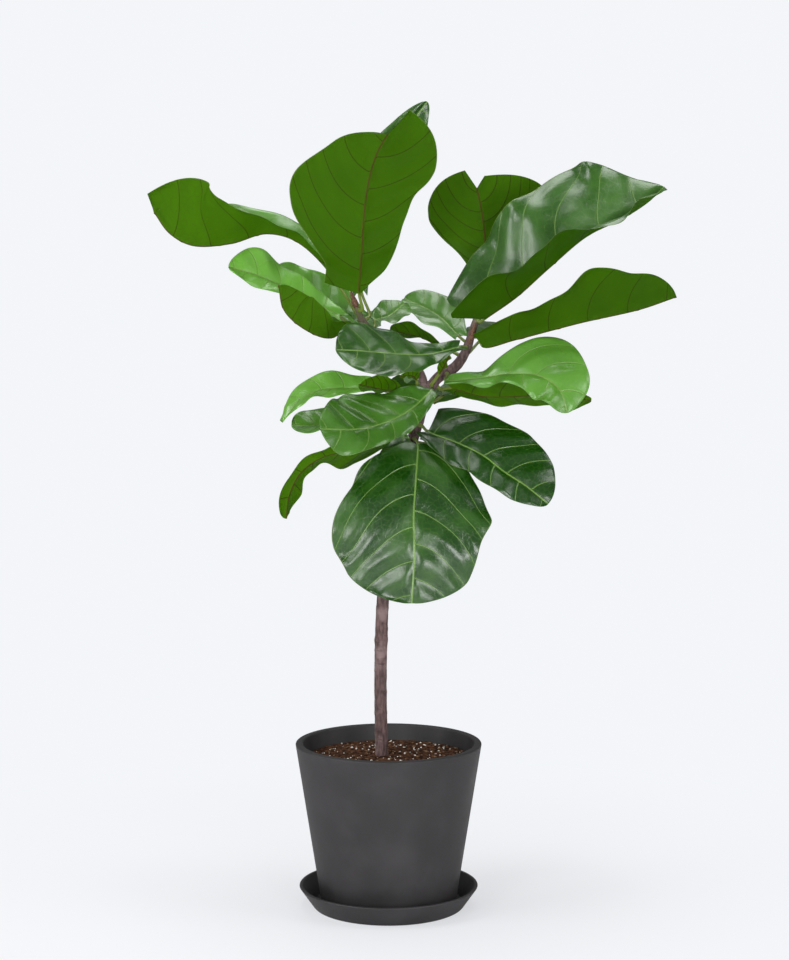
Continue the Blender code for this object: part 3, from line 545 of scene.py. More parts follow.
def leaf_side(name, roughness, specular, dark, light, vein_colour, rib_colour, net_share, raised):
    """One side of the leaves: its green, the pattern of its veins, and their relief.

    net_share is how strongly the net of small veins shows, and raised is 1 where veins stand
    out and -1 where they are sunken."""
    made, tree, shader = new_material(name, roughness, specular)
    spot = node(tree, "ShaderNodeAttribute", attribute_name="flat")
    age_and_painted_light = node(tree, "ShaderNodeAttribute", attribute_name="age_and_painted_light").outputs["Fac"]
    margin = node(tree, "ShaderNodeAttribute", attribute_name="reach").outputs["Fac"]
    place = node(tree, "ShaderNodeSeparateXYZ", {0: spot.outputs["Vector"]})
    cell, across, length = (place.outputs[i] for i in range(3))
    where = node(tree, "ShaderNodeTexCoord").outputs["Object"]

    # Side veins lie at whole numbers of cell, and get thinner towards the margin.
    gap = node(tree, "ShaderNodeAttribute", attribute_name="vein_gap").outputs["Fac"]
    to_vein = maths(tree, "MULTIPLY", maths(tree, "PINGPONG", cell, 0.5), gap)
    vein_width = maths(tree, "MULTIPLY_ADD", margin, -0.0006, 0.0013)
    vein = maths(tree, "SUBTRACT", 1.0, node(tree, "ShaderNodeMapRange", {
        "Value": to_vein, "From Min": 0.0003, "From Max": vein_width}).outputs["Result"])
    rib = stepped(tree, maths(tree, "ABSOLUTE", across), 0.0018, 0.0008)
    stalk = stepped(tree, length, 0.002, -0.001)

    # Two nets of small veins, bent out of their straight cells by a little noise.
    flat_place = node(tree, "ShaderNodeCombineXYZ", {0: length, 1: across}).outputs[0]
    wander = node(tree, "ShaderNodeTexNoise", {"Vector": flat_place, "Scale": 60.0, "Detail": 2.0})
    bent = node(tree, "ShaderNodeVectorMath", {0: wander.outputs["Color"], 3: 0.010},
                operation="SCALE").outputs[0]
    bent_place = node(tree, "ShaderNodeVectorMath", {0: flat_place, 1: bent},
                      operation="ADD").outputs[0]
    net, fine = (
        stepped(tree, node(tree, "ShaderNodeTexVoronoi", {"Vector": bent_place, "Scale": scale},
                           voronoi_dimensions="2D", feature="DISTANCE_TO_EDGE").outputs["Distance"],
                wide, narrow)
        for scale, wide, narrow in ((105.0, 0.07, 0.015), (330.0, 0.10, 0.02))
    )
    mottle = node(tree, "ShaderNodeTexNoise", {"Vector": where, "Scale": 16.0, "Detail": 5.0})
    # Lightness follows each leaf's paleness entry, which holds painted highlight or painted shade
    # on a few leaves.
    lightness = maths(tree, "MULTIPLY_ADD", mottle.outputs["Fac"], MOTTLING, age_and_painted_light)
    lightness = node(tree, "ShaderNodeClamp", {0: lightness}).outputs[0]

    green = mixed(tree, lightness, dark, light)
    green = mixed(tree, maths(tree, "MULTIPLY", net, net_share), green, vein_colour)
    green = mixed(tree, maths(tree, "MULTIPLY", vein, 0.75), green, vein_colour)
    green = mixed(tree, maths(tree, "MULTIPLY", rib, 0.9), green, rib_colour)
    green = mixed(tree, stepped(tree, margin, 0.985, 0.998, 0.0, 0.7), green, MARGIN_PALE)
    tree.links.new(mixed(tree, stalk, green, STALK_GREEN), shader.inputs["Base Color"])
    tree.links.new(stepped(tree, mottle.outputs["Fac"], 0.3, 0.7,
                           roughness - 0.04, roughness + 0.06), shader.inputs["Roughness"])

    # Veins sunken or raised, on a sheet that is gently quilted all over.
    relief = maths(tree, "MULTIPLY_ADD", net, NET_RISE, maths(tree, "MULTIPLY", fine, FINE_RISE))
    relief = maths(tree, "MULTIPLY", maths(tree, "MULTIPLY_ADD", vein, VEIN_RISE, relief), raised)
    quilting = node(tree, "ShaderNodeTexNoise",
                    {"Vector": flat_place, "Scale": 34.0, "Detail": 0.5})
    relief = maths(tree, "MULTIPLY_ADD", quilting.outputs["Fac"], QUILTING, relief)
    bump = node(tree, "ShaderNodeBump", {"Height": relief, "Strength": 1.0, "Distance": 1.0})
    tree.links.new(bump.outputs["Normal"], shader.inputs["Normal"])
    glow = node(tree, "ShaderNodeBsdfTranslucent",
                {"Color": mixed(tree, maths(tree, "MAXIMUM", vein, rib), GLOW, GLOW_VEIN)})
    both = node(tree, "ShaderNodeMixShader",
                {0: LIGHT_THROUGH, 1: shader.outputs[0], 2: glow.outputs[0]})
    tree.links.new(both.outputs[0], tree.nodes["Material Output"].inputs["Surface"])
    return made


leaf_above = leaf_side("leaf_glossy_above", 0.28, 0.75, UPPER_DARK, UPPER_LIGHT,
                       UPPER_VEIN, UPPER_VEIN, 0.12, -1.0)
leaf_below = leaf_side("leaf_dull_below", 0.60, 0.05, UNDER_DARK, UNDER_LIGHT,
                       UNDER_VEIN, UNDER_RIB, 0.30, 1.0)


def smooth_list(values, places):
    """A Catmull-Rom curve through values given at even steps from 0 to 1."""
    values = np.asarray(values, float)
    last = len(values) - 1
    span = np.minimum((places * last).astype(int), last - 1)
    u = places * last - span
    a, b, c, d = (values[np.clip(span + k, 0, last)] for k in (-1, 0, 1, 2))
    return 0.5 * (2 * b + (c - a) * u + (2 * a - 5 * b + 4 * c - d) * u**2
                  + (3 * b - a - 3 * c + d) * u**3)


def half_width(values, s):
    """Half the width of a blade at s of its length, rounded off at the tip."""
    tip = np.maximum(0.0, (s - TIP_FROM) / (1 - TIP_FROM))
    return smooth_list(values, s) * np.sqrt(1 - tip**2)


def blend(values, places):
    """Straight steps between values, or vectors, given at even steps from 0 to 1."""
    values = np.asarray(values, float)
    knots = np.linspace(0, 1, len(values))
    if values.ndim == 1:
        return np.interp(places, knots, values)
    return np.stack([np.interp(places, knots, column) for column in values.T], axis=-1)


def carried(normal, first, then):
    """The normal after the least turn that brings the direction first round to then."""
    axis, cosine = np.cross(first, then), float(first @ then)
    return normal * cosine + np.cross(axis, normal) + axis * (axis @ normal) / (1 + cosine)


def mark(piece, blade_length, left, right, age_and_painted_light):
    """Stores how far each point lies from midrib to margin, and the leaf's paleness, for its
    looks: its age, with a painted highlight or painted shade on a few leaves.
    """
    count = len(piece.data.vertices)
    places = np.empty(count * 3, np.float32)
    piece.data.attributes["flat"].data.foreach_get("vector", places)
    _, across, length = places.reshape(-1, 3).T
    s = np.clip(length / blade_length, 0, 1)
    half = np.where(across >= 0, half_width(right, s), half_width(left, s))
    narrowest = 0.02 * max(max(left), max(right))
    reach = np.clip(np.abs(across) / np.maximum(half, narrowest), 0, 1)
    reach[length < 0] = 0
    for key, values in (("reach", reach), ("age_and_painted_light", np.full(count, age_and_painted_light - 0.5 * MOTTLING))):
        stored = piece.data.attributes.new(key, "FLOAT", "POINT")
        stored.data.foreach_set("value", values.astype(np.float32))


def leaf(
    name, limb, height, rib, face, left, right,
    fold=((15, 15), (15, 15)), wave=(0.003, 2.0, 0.0, 1.5),
    sweep=(0.02, 0.02), notch=(0.0, 0.0), lead=0.008, calm=0.012,
):
    """One leaf, stalk and blade together.

    limb, height  the piece of wood it grows from, and how far up that piece
    rib           points of the midrib from the foot of the blade to its tip
    face          the way its upper side looks, from foot to tip, or all along if one is given
    left, right   half widths at even steps from foot to tip, seen from above
    fold          degrees each half is lifted off flat, at foot and tip
    wave          height of the margin's waves, waves along it, phase on the left, on the right
    sweep, notch  how far the lobes at the foot reach back, and those at the tip forward
    lead, calm    how far the stalk stands straight out of the wood, and over what length a
                  bend of the midrib is evened out before it turns the blade
    """
    wood_path = stem_paths[limb]
    foot = along(wood_path, wood_path[1][-1] * height)
    grain = heading(wood_path, wood_path[1][-1] * height)
    out = np.asarray(rib[0], float) - foot[:3]
    out = unit(out - grain * out.dot(grain))
    start = foot[:3] + out * (foot[3] + GAP)
    path = smooth_path([start, start + out * lead, *rib])
    blade_from = path[1][2 * SPAN_STEPS]
    blade_length = path[1][-1] - blade_from

    # A ring runs over the upper side from the left margin to the right one, then back below.
    # reach is 0 on the midrib and 1 at a margin.
    quarter = 24 if blade_length > SHORT_BLADE else 12
    count = 4 * quarter
    v = np.arange(count) / count
    upper_half = v < 0.5
    q = np.where(upper_half, -1 + 4 * v, 3 - 4 * v)
    right_half = q >= 0
    sign = np.where(right_half, 1.0, -1.0)
    even = np.abs(q)
    reach = 0.25 * even + 0.75 * (0.5 - 0.5 * np.cos(np.pi * even))
    turn = np.pi * (1 - 2 * v)

    def halves(on_left, on_right):
        return np.where(right_half, on_right, on_left)

    def frames(s, evened):
        """Points of the midrib, with the ways ahead, up off the blade and to its right."""
        distance = blade_from + s * blade_length
        ahead = heading(path, distance, evened)
        normal = blend(face, s)
        normal = unit(normal - ahead * (normal * ahead).sum(axis=-1, keepdims=True))
        return along(path, distance), ahead, normal, np.cross(ahead, normal)

    def round_rings(point, normal, side, radius):
        spoke = (np.cos(turn)[None, :, None] * side[:, None]
                 + np.sin(turn)[None, :, None] * normal[:, None])
        return point[:, None] + radius[:, None, None] * spoke

    # The stalk is round, flared at the wood, and carries the blade's frame down without twist.
    t = np.linspace(0, 1, STALK_RINGS + 1)[:-1]
    _, blade_ahead, blade_normal, _ = frames(np.zeros(1), 0.002)
    point = along(path, t * blade_from)
    point[0] = start - out * STALK_SUNK
    ahead = heading(path, t * blade_from)
    ahead[0] = out
    normal = np.array([carried(blade_normal[0], blade_ahead[0], way) for way in ahead])
    side = np.cross(ahead, normal)
    radius = STALK_RADIUS * (1 + STALK_FLARE * np.exp(-5 * t))
    stalk_rings = round_rings(point, normal, side, radius)

    # The blade: each half is lifted by its fold, and its outline shifts for lobes and notches.
    stations = max(30, int(blade_length / RING_SPACING))
    s = 1 - (1 - np.linspace(0, 1, stations)[:-1]) ** 1.6
    point, ahead, normal, side = frames(s, 0.002 + calm * np.minimum(1.0, 12 * s))
    from_rib = reach * halves(half_width(left, s)[:, None], half_width(right, s)[:, None])
    lifts = np.radians([blend(fold[0], s), blend(fold[1], s)])
    lift = halves(lifts[0][:, None], lifts[1][:, None])
    flat = from_rib * np.cos(lift)
    rise = from_rib * np.sin(lift)
    lobes = halves(*sweep) * min(1.0, blade_length / 0.15)
    shift = (-lobes * reach**1.3 * np.exp(-((s / 0.13) ** 2))[:, None]
             + halves(*notch) * reach * np.exp(-(((1 - s) / 0.12) ** 2))[:, None])
    surface = (np.cos(lift)[..., None] * normal[:, None]
               - (sign * np.sin(lift))[..., None] * side[:, None])
    middle = unit(np.cos(lifts).sum(axis=0)[:, None] * normal
                  + (np.sin(lifts[0]) - np.sin(lifts[1]))[:, None] * side)
    away = np.minimum(1.0, from_rib / 0.006)[..., None]
    surface = unit((1 - away) * middle[:, None] + away * surface)

    # Waves and frills, both still at the foot of the blade.
    phase = halves(*wave[2:])
    loose = np.minimum(1.0, s / 0.2)[:, None]
    ripple = wave[0] * reach**2 * loose * np.sin(2 * np.pi * wave[1] * s[:, None] + phase)
    frill = np.sin(2 * np.pi * s[:, None] * blade_length / FRILL_LENGTH
                   + 2.1 * phase + 40 * foot[2])
    ripple = ripple + FRILL * min(1.0, blade_length / 0.2) * reach**4 * loose * frill

    # Side veins leave the midrib nearly square to it, then arch towards the tip. They are
    # numbered by cell, and gap is how far apart they run.
    arch = VEIN_ARCH / blade_length
    cell = s[:, None] * blade_length - VEIN_LEAN * from_rib - arch * from_rib**2
    cell = cell * VEIN_CELLS / blade_length + 0.25 * sign * np.minimum(1.0, from_rib / 0.0015)
    gap = blade_length / VEIN_CELLS / np.sqrt(1 + (VEIN_LEAN + 2 * arch * from_rib) ** 2)
    to_vein = np.abs(cell - np.round(cell)) * gap

    # The sheet is puffed up between the veins, grooved along them above, and ribbed below.
    edge = np.minimum(1.0, (1 - reach) / 0.12) * np.minimum(1.0, s / 0.08)[:, None]
    pillow = (PILLOW * min(1.0, blade_length / 0.25) * edge
              * (1 - np.exp(-((to_vein / PILLOW_EDGE) ** 2)))
              * (1 - np.exp(-((from_rib / 0.007) ** 2))))
    thick = 0.5 * SHEET * (1 - 0.7 * reach**8)
    near_rib = np.exp(-((from_rib / MIDRIB_WIDTH) ** 2))
    near_vein = np.exp(-((to_vein / SIDE_RIB_WIDTH) ** 2))
    under = (-thick - MIDRIB * (1 - 0.8 * s)[:, None] * near_rib
             - SIDE_RIB * near_vein * edge * (1 - 0.6 * reach))
    lean = ripple + pillow + np.where(upper_half, thick - MIDRIB_GROOVE * near_rib, under)
    blade = (point[:, None] + (sign * flat)[..., None] * side[:, None]
             + rise[..., None] * normal[:, None] + shift[..., None] * ahead[:, None]
             + lean[..., None] * surface)
    ease = np.minimum(1.0, s / 0.02)[:, None, None]
    ease = ease * ease * (3 - 2 * ease)
    stalk_end = round_rings(point, normal, side, np.full(len(s), STALK_RADIUS))
    blade = (1 - ease) * stalk_end + ease * blade

    # The same rings laid flat, for the material: cell, distance across, distance along.
    first = np.tile(start - out * STALK_SUNK, (1, count, 1))
    last = np.tile(np.asarray(rib[-1], float), (1, count, 1))
    rings = np.concatenate([first, stalk_rings, blade, last])
    travel = np.concatenate([[-blade_from], (t - 1) * blade_from, s * blade_length, [blade_length]])
    blank = np.zeros((STALK_RINGS + 1, count))
    cells = np.concatenate([blank + 0.5, cell, cell[-1:]])
    gaps = np.concatenate([blank + 0.02, gap, gap[-1:]])
    spans = np.concatenate([blank + 0.02, sign * from_rib, 0 * from_rib[-1:]])
    places = np.stack([cells, spans, np.repeat(travel[:, None], count, axis=1)], axis=-1)
    bm = rolled(rings, upper=0.5, flat=places, gaps=gaps)
    bmesh.ops.reverse_faces(bm, faces=bm.faces)
    piece = piece_from(bm, name + "_veined")
    by_place = 0.35 + 0.2 * math.sin(37.0 * foot[2] + 11.0 * rib[-1][0])
    mark(piece, blade_length, left, right, AGES_AND_PAINTED_LIGHT.get(name, by_place))
    return finished(piece, name, "leaf", leaf_above, leaf_below)


# Leaves of the left shoot.
leaf(
    "leaf_top", "left", 0.97,
    [(-0.046, -0.016, 0.988), (-0.042, -0.03, 1.05), (-0.038, -0.04, 1.11),
     (-0.03, -0.045, 1.165), (-0.018, -0.044, 1.205), (-0.002, -0.04, 1.234)],
    [(0, 1, 0.1), (0, 1, 0), (-0.1, 1, -0.1)],
    left=(0.006, 0.042, 0.056, 0.066, 0.078, 0.095, 0.092),
    right=(0.056, 0.058, 0.088, 0.118, 0.117, 0.072, 0.036),
    fold=((12, 8), (12, 5)), wave=(0.004, 1.8, 0.5, 2),
    sweep=(0, -0.01), notch=(0.052, 0),
)
leaf(
    "leaf_top_back", "left", 0.87,
    [(-0.044, 0.03, 0.995), (-0.035, 0.06, 1.08), (-0.012, 0.085, 1.17),
     (0.03, 0.09, 1.25), (0.062, 0.085, 1.294)],
    [(0, -1, 0.1), (0, -1, -0.1)],
    left=(0.01, 0.03, 0.045, 0.052, 0.044, 0.026, 0.014),
    right=(0.01, 0.02, 0.03, 0.035, 0.04, 0.032, 0.02),
    fold=((10, 10), (10, 10)), lead=0.016,
)
leaf(
    "leaf_left_far", "left", 0.88,
    [(-0.1, 0.03, 1.03), (-0.15, 0.035, 1.073), (-0.195, 0.03, 1.083),
     (-0.25, 0.015, 1.067), (-0.31, 0, 1.064), (-0.345, -0.005, 1.083),
     (-0.368, -0.01, 1.115)],
    [(0, 0, 1), (0, 0, 1), (0.4, 0, 0.9)],
    left=(0.01, 0.015, 0.03, 0.07, 0.098, 0.11, 0.1),
    right=(0.03, 0.035, 0.045, 0.072, 0.085, 0.07, 0.04),
    fold=((20, 75), (50, 60)), notch=(0.03, 0), calm=0.04,
)
leaf(
    "leaf_left_mid", "left", 0.72,
    [(-0.078, 0.004, 0.952), (-0.12, 0.01, 0.975), (-0.165, 0.01, 0.998),
     (-0.21, 0, 1.018), (-0.252, -0.01, 1.03)],
    [(0.1, -0.6, 0.75), (0.1, -0.7, 0.7)],
    left=(0.01, 0.015, 0.02, 0.022, 0.025, 0.028, 0.026),
    right=(0.01, 0.02, 0.028, 0.034, 0.042, 0.045, 0.034),
    fold=((5, 5), (15, 15)), wave=(0.005, 2.5, 0, 2),
)
leaf(
    "leaf_left_mid_back", "left", 0.62,
    [(-0.05, 0.04, 0.945), (-0.095, 0.065, 0.97), (-0.145, 0.09, 0.995),
     (-0.192, 0.11, 1.02)],
    [(0, -0.5, 0.85)],
    left=(0.01, 0.025, 0.035, 0.04, 0.035),
    right=(0.015, 0.035, 0.04, 0.035, 0.03),
    fold=((10, 10), (40, 40)),
)
leaf(
    "leaf_left_front", "left", 0.8,
    [(-0.06, -0.03, 0.936), (-0.092, -0.045, 0.92), (-0.132, -0.058, 0.935),
     (-0.162, -0.068, 0.964), (-0.17, -0.072, 1.002)],
    [(0, 0, 1), (0.3, 0, 0.8), (0.9, 0.1, 0.3)],
    left=(0.01, 0.03, 0.045, 0.05, 0.05, 0.045, 0.03),
    right=(0.01, 0.025, 0.035, 0.04, 0.04, 0.04, 0.03),
    fold=((45, 80), (45, 60)), sweep=(0.006, 0.006),
)
leaf(
    "leaf_inner", "left", 0.76,
    [(-0.022, 0.02, 0.945), (0, 0.04, 0.952), (0.026, 0.06, 0.972)],
    [(0, -0.6, 0.8)],
    left=(0.01, 0.025, 0.028, 0.015),
    right=(0.01, 0.028, 0.03, 0.02), sweep=(0.008, 0.008),
)

# Leaves of the right shoot.
leaf(
    "leaf_right_big", "right", 0.97,
    [(0.152, -0.014, 0.949), (0.2, -0.025, 0.983), (0.25, -0.035, 1.028),
     (0.31, -0.035, 1.078), (0.365, -0.03, 1.105), (0.405, -0.022, 1.13),
     (0.432, -0.018, 1.155)],
    [(-0.65, -0.1, 0.75), (-0.6, -0.3, 0.75), (-0.4, -0.3, 0.85)],
    left=(0.06, 0.115, 0.13, 0.125, 0.13, 0.11, 0.06),
    right=(0.04, 0.07, 0.07, 0.055, 0.05, 0.045, 0.035),
    fold=((50, 35), (65, 10)), wave=(0.012, 2.6, 1, 0),
    sweep=(0.055, 0.05),
)
leaf(
    "leaf_right_top", "right", 0.99,
    [(0.152, 0.045, 1.01), (0.156, 0.075, 1.06), (0.152, 0.095, 1.11),
     (0.143, 0.105, 1.157)],
    [(0, 1, 0.2), (0, 1, 0.1)],
    left=(0.05, 0.075, 0.1, 0.115, 0.095),
    right=(0.012, 0.038, 0.066, 0.086, 0.08),
    fold=((10, 10), (5, 5)), notch=(0.018, 0.034),
)
leaf(
    "leaf_right_long", "right", 0.8,
    [(0.15, -0.012, 0.905), (0.2, -0.03, 0.917), (0.3, -0.06, 0.944),
     (0.39, -0.08, 0.965), (0.445, -0.085, 0.984)],
    [(0, 0, 1)],
    left=(0.02, 0.035, 0.045, 0.06, 0.08, 0.08, 0.05),
    right=(0.025, 0.04, 0.052, 0.062, 0.096, 0.078, 0.055),
    fold=((25, 15), (60, 50)), wave=(0.007, 2.2, 0, 0),
)
leaf(
    "leaf_right_back", "right", 0.72,
    [(0.112, 0.04, 0.92), (0.085, 0.08, 0.948), (0.055, 0.115, 0.966),
     (0.025, 0.135, 0.978)],
    [(0.1, -0.6, 0.75)],
    left=(0.01, 0.03, 0.04, 0.04, 0.025),
    right=(0.01, 0.03, 0.038, 0.035, 0.025),
    fold=((10, 10), (20, 20)),
)
leaf(
    "leaf_front", "right", 0.66,
    [(0.112, -0.03, 0.905), (0.06, -0.07, 0.895), (0, -0.11, 0.898),
     (-0.045, -0.135, 0.903), (-0.08, -0.148, 0.905)],
    [(0, -0.6, 0.8)],
    left=(0.01, 0.018, 0.032, 0.052, 0.068, 0.065, 0.04),
    right=(0.012, 0.02, 0.03, 0.045, 0.058, 0.058, 0.04),
    fold=((5, 5), (10, 15)),
)
leaf(
    "leaf_right_low", "right", 0.3,
    [(0.09, -0.036, 0.853), (0.14, -0.05, 0.857), (0.19, -0.07, 0.865),
     (0.235, -0.09, 0.862), (0.265, -0.102, 0.84), (0.276, -0.108, 0.806)],
    [(0, -0.5, 0.85), (0.1, -0.6, 0.75), (0.5, -0.7, 0.4)],
    left=(0.01, 0.016, 0.026, 0.058, 0.084, 0.056, 0.03),
    right=(0.01, 0.014, 0.018, 0.028, 0.038, 0.042, 0.03),
    fold=((15, 15), (-5, -10)), wave=(0.007, 2.4, 1.2, 0.4), sweep=(0.004, 0.004),
)
leaf(
    "leaf_right_under", "right", 0.12,
    [(0.1, 0.012, 0.838), (0.15, 0.005, 0.826), (0.2, -0.005, 0.826),
     (0.26, -0.015, 0.828), (0.32, -0.025, 0.82)],
    [(0, 0.55, 0.83)],
    left=(0.015, 0.03, 0.03, 0.036, 0.048, 0.045, 0.025),
    right=(0.01, 0.035, 0.045, 0.05, 0.05, 0.035, 0.015),
    fold=((5, 5), (5, 5)),
)

# Leaves of the stem below the fork.
leaf(
    "leaf_front_low", "trunk", 0.97,
    [(0.068, -0.042, 0.838), (0.038, -0.072, 0.812), (0, -0.102, 0.793),
     (-0.05, -0.135, 0.783), (-0.104, -0.155, 0.785)],
    [(0, -0.5, 0.85), (0, -0.6, 0.8)],
    left=(0.012, 0.022, 0.03, 0.036, 0.04, 0.045, 0.035),
    right=(0.02, 0.045, 0.06, 0.07, 0.075, 0.065, 0.045),
    fold=((-10, -20), (10, 10)), sweep=(0, 0),
)
leaf(
    "leaf_centre_under", "trunk", 0.93,
    [(0.01, -0.034, 0.836), (-0.01, -0.052, 0.84), (-0.044, -0.07, 0.848)],
    [(0, 0.6, 0.8)],
    left=(0.01, 0.025, 0.028, 0.018),
    right=(0.01, 0.022, 0.024, 0.016),
)
leaf(
    "leaf_left_low", "trunk", 0.945,
    [(-0.01, 0.03, 0.834), (-0.06, 0.05, 0.836), (-0.11, 0.06, 0.832),
     (-0.145, 0.06, 0.815), (-0.172, 0.055, 0.78)],
    [(0, -0.5, 0.85), (0, -0.5, 0.85), (-0.8, -0.3, 0.4)],
    left=(0.01, 0.025, 0.035, 0.038, 0.036, 0.025, 0.012),
    right=(0.01, 0.025, 0.033, 0.035, 0.032, 0.022, 0.01),
)
leaf(
    "leaf_left_low_back", "trunk", 0.9,
    [(-0.02, 0.05, 0.79), (-0.08, 0.07, 0.78), (-0.12, 0.078, 0.774),
     (-0.158, 0.078, 0.774)],
    [(0, -0.5, 0.85)],
    left=(0.01, 0.025, 0.032, 0.036, 0.03),
    right=(0.01, 0.025, 0.032, 0.036, 0.03),
)
leaf(
    "leaf_left_droop", "trunk", 0.885,
    [(-0.005, -0.03, 0.757), (-0.05, -0.05, 0.745), (-0.1, -0.06, 0.735),
     (-0.135, -0.065, 0.712), (-0.155, -0.065, 0.675), (-0.16, -0.065, 0.637)],
    [(0, 0.6, 0.8), (0, 0.6, 0.8), (-0.7, 0.6, 0.2)],
    left=(0.015, 0.02, 0.022, 0.016, 0.012, 0.016, 0.02),
    right=(0.02, 0.056, 0.062, 0.032, 0.02, 0.028, 0.026),
    fold=((5, 20), (5, 20)),
)
leaf(
    "leaf_low_big", "trunk", 0.87,
    [(0.046, -0.045, 0.752), (0.043, -0.085, 0.705), (0.039, -0.115, 0.645),
     (0.04, -0.13, 0.585), (0.036, -0.13, 0.513)],
    [(0, -0.8, 0.5), (0, -0.95, 0.2), (0, -1, -0.1)],
    left=(0.045, 0.08, 0.108, 0.122, 0.102, 0.09, 0.07),
    right=(0.01, 0.085, 0.102, 0.124, 0.126, 0.106, 0.085),
    fold=((-5, -8), (-5, -8)), wave=(0.005, 2, 0, 2),
)
leaf(
    "leaf_low_back", "trunk", 0.84,
    [(0.026, -0.02, 0.768), (0.016, -0.035, 0.73), (0.01, -0.045, 0.685),
     (0.008, -0.05, 0.62)],
    [(0, -0.9, 0.4), (0, -1, 0)],
    left=(0.005, 0.03, 0.042, 0.038, 0.03),
    right=(0.01, 0.03, 0.04, 0.036, 0.03), sweep=(0.003, 0.003),
)
leaf(
    "leaf_right_dark", "trunk", 0.905,
    [(0.062, -0.032, 0.772), (0.11, -0.055, 0.755), (0.148, -0.072, 0.737),
     (0.18, -0.085, 0.713), (0.213, -0.095, 0.692), (0.248, -0.1, 0.664)],
    [(0.1, -0.75, 0.65), (0.1, -0.8, 0.6)],
    left=(0.045, 0.062, 0.072, 0.075, 0.075, 0.062, 0.045),
    right=(0.01, 0.034, 0.044, 0.044, 0.038, 0.032, 0.024),
    fold=((5, 5), (5, 5)),
)

# Small and half-hidden leaves in the middle of the crown.
leaf(
    "leaf_low_inner", "trunk", 0.955,
    [(0.044, -0.034, 0.854), (0.034, -0.052, 0.862), (0.018, -0.062, 0.86)],
    [(0, 0.7, 0.7)],
    left=(0.006, 0.012, 0.012, 0.008),
    right=(0.006, 0.01, 0.01, 0.008), sweep=(0, 0),
)
leaf(
    "leaf_mid_under", "right", 0.55,
    [(0.085, 0.04, 0.902), (0.05, 0.065, 0.918), (0.002, 0.08, 0.928)],
    [(0, 0.5, 0.85)],
    left=(0.01, 0.025, 0.028, 0.018),
    right=(0.01, 0.025, 0.028, 0.018), sweep=(0.008, 0.008),
)
leaf(
    "leaf_young", "right", 0.1,
    [(0.08, -0.02, 0.862), (0.088, -0.028, 0.876), (0.096, -0.032, 0.892)],
    [(-0.5, 0.8, 0.2)],
    left=(0.004, 0.01, 0.01, 0.005),
    right=(0.004, 0.009, 0.009, 0.005),
    fold=((35, 35), (35, 35)), sweep=(0, 0), lead=0.004,
)

# Leaves that reach back from the crown.
leaf(
    "leaf_back_left", "left", 0.68,
    [(-0.044, 0.06, 0.925), (-0.06, 0.125, 0.938), (-0.07, 0.198, 0.942),
     (-0.072, 0.275, 0.922)],
    [(0, 0, 1), (0, 0.3, 1)],
    left=(0.03, 0.045, 0.052, 0.066, 0.076, 0.072, 0.045),
    right=(0.03, 0.045, 0.05, 0.062, 0.074, 0.068, 0.045),
    fold=((25, 10), (25, 10)), wave=(0.005, 2.2, 0.3, 1.8),
)
leaf(
    "leaf_back_right", "right", 0.62,
    [(0.15, 0.05, 0.915), (0.178, 0.11, 0.928), (0.205, 0.18, 0.93),
     (0.228, 0.255, 0.914)],
    [(0, 0, 1), (0, 0.3, 1)],
    left=(0.025, 0.04, 0.046, 0.06, 0.07, 0.066, 0.045),
    right=(0.025, 0.04, 0.044, 0.056, 0.068, 0.064, 0.045),
    fold=((20, 5), (20, 5)), wave=(0.005, 2, 1, 0.2),
)
leaf(
    "leaf_back_top", "right", 0.86,
    [(0.16, 0.06, 0.985), (0.19, 0.12, 1.03), (0.222, 0.18, 1.066),
     (0.258, 0.24, 1.085)],
    [(0, -0.3, 1), (0, 0, 1)],
    left=(0.02, 0.034, 0.042, 0.056, 0.066, 0.06, 0.04),
    right=(0.02, 0.034, 0.04, 0.052, 0.06, 0.056, 0.04),
    fold=((25, 10), (20, 10)), wave=(0.004, 2, 0.5, 1),
)
leaf(
    "leaf_back_mid", "trunk", 0.955,
    [(0.085, 0.05, 0.822), (0.085, 0.12, 0.832), (0.082, 0.2, 0.826),
     (0.078, 0.28, 0.796)],
    [(0, 0, 1), (0, 0.4, 1)],
    left=(0.03, 0.046, 0.054, 0.068, 0.08, 0.074, 0.05),
    right=(0.03, 0.046, 0.052, 0.064, 0.076, 0.072, 0.05),
    fold=((20, 5), (20, 5)), wave=(0.006, 2.2, 0, 1.2),
)
leaf(
    "leaf_back_low", "trunk", 0.88,
    [(0.015, 0.06, 0.77), (-0.01, 0.125, 0.772), (-0.032, 0.19, 0.76),
     (-0.052, 0.255, 0.728)],
    [(0, 0, 1), (0, 0.4, 1)],
    left=(0.025, 0.04, 0.048, 0.06, 0.072, 0.068, 0.045),
    right=(0.025, 0.04, 0.046, 0.058, 0.07, 0.066, 0.045),
    fold=((20, 5), (20, 5)), wave=(0.005, 2, 1.5, 0.4),
)
leaf(
    "leaf_back_low_right", "trunk", 0.86,
    [(0.075, 0.05, 0.745), (0.105, 0.11, 0.748), (0.138, 0.17, 0.738),
     (0.172, 0.225, 0.712)],
    [(0, 0, 1), (0, 0.4, 1)],
    left=(0.022, 0.036, 0.042, 0.054, 0.064, 0.06, 0.042),
    right=(0.022, 0.036, 0.04, 0.052, 0.062, 0.058, 0.042),
    fold=((20, 5), (20, 5)), wave=(0.005, 2, 0.8, 0),
)

# ---------------------------------------------------------------- bud sheaths
# Papery brown sheaths: one round the growing tip of each shoot, and one dried on the fork.
# Each is a thin pointed scale, pleated lengthways, that clings to the wood at its foot.

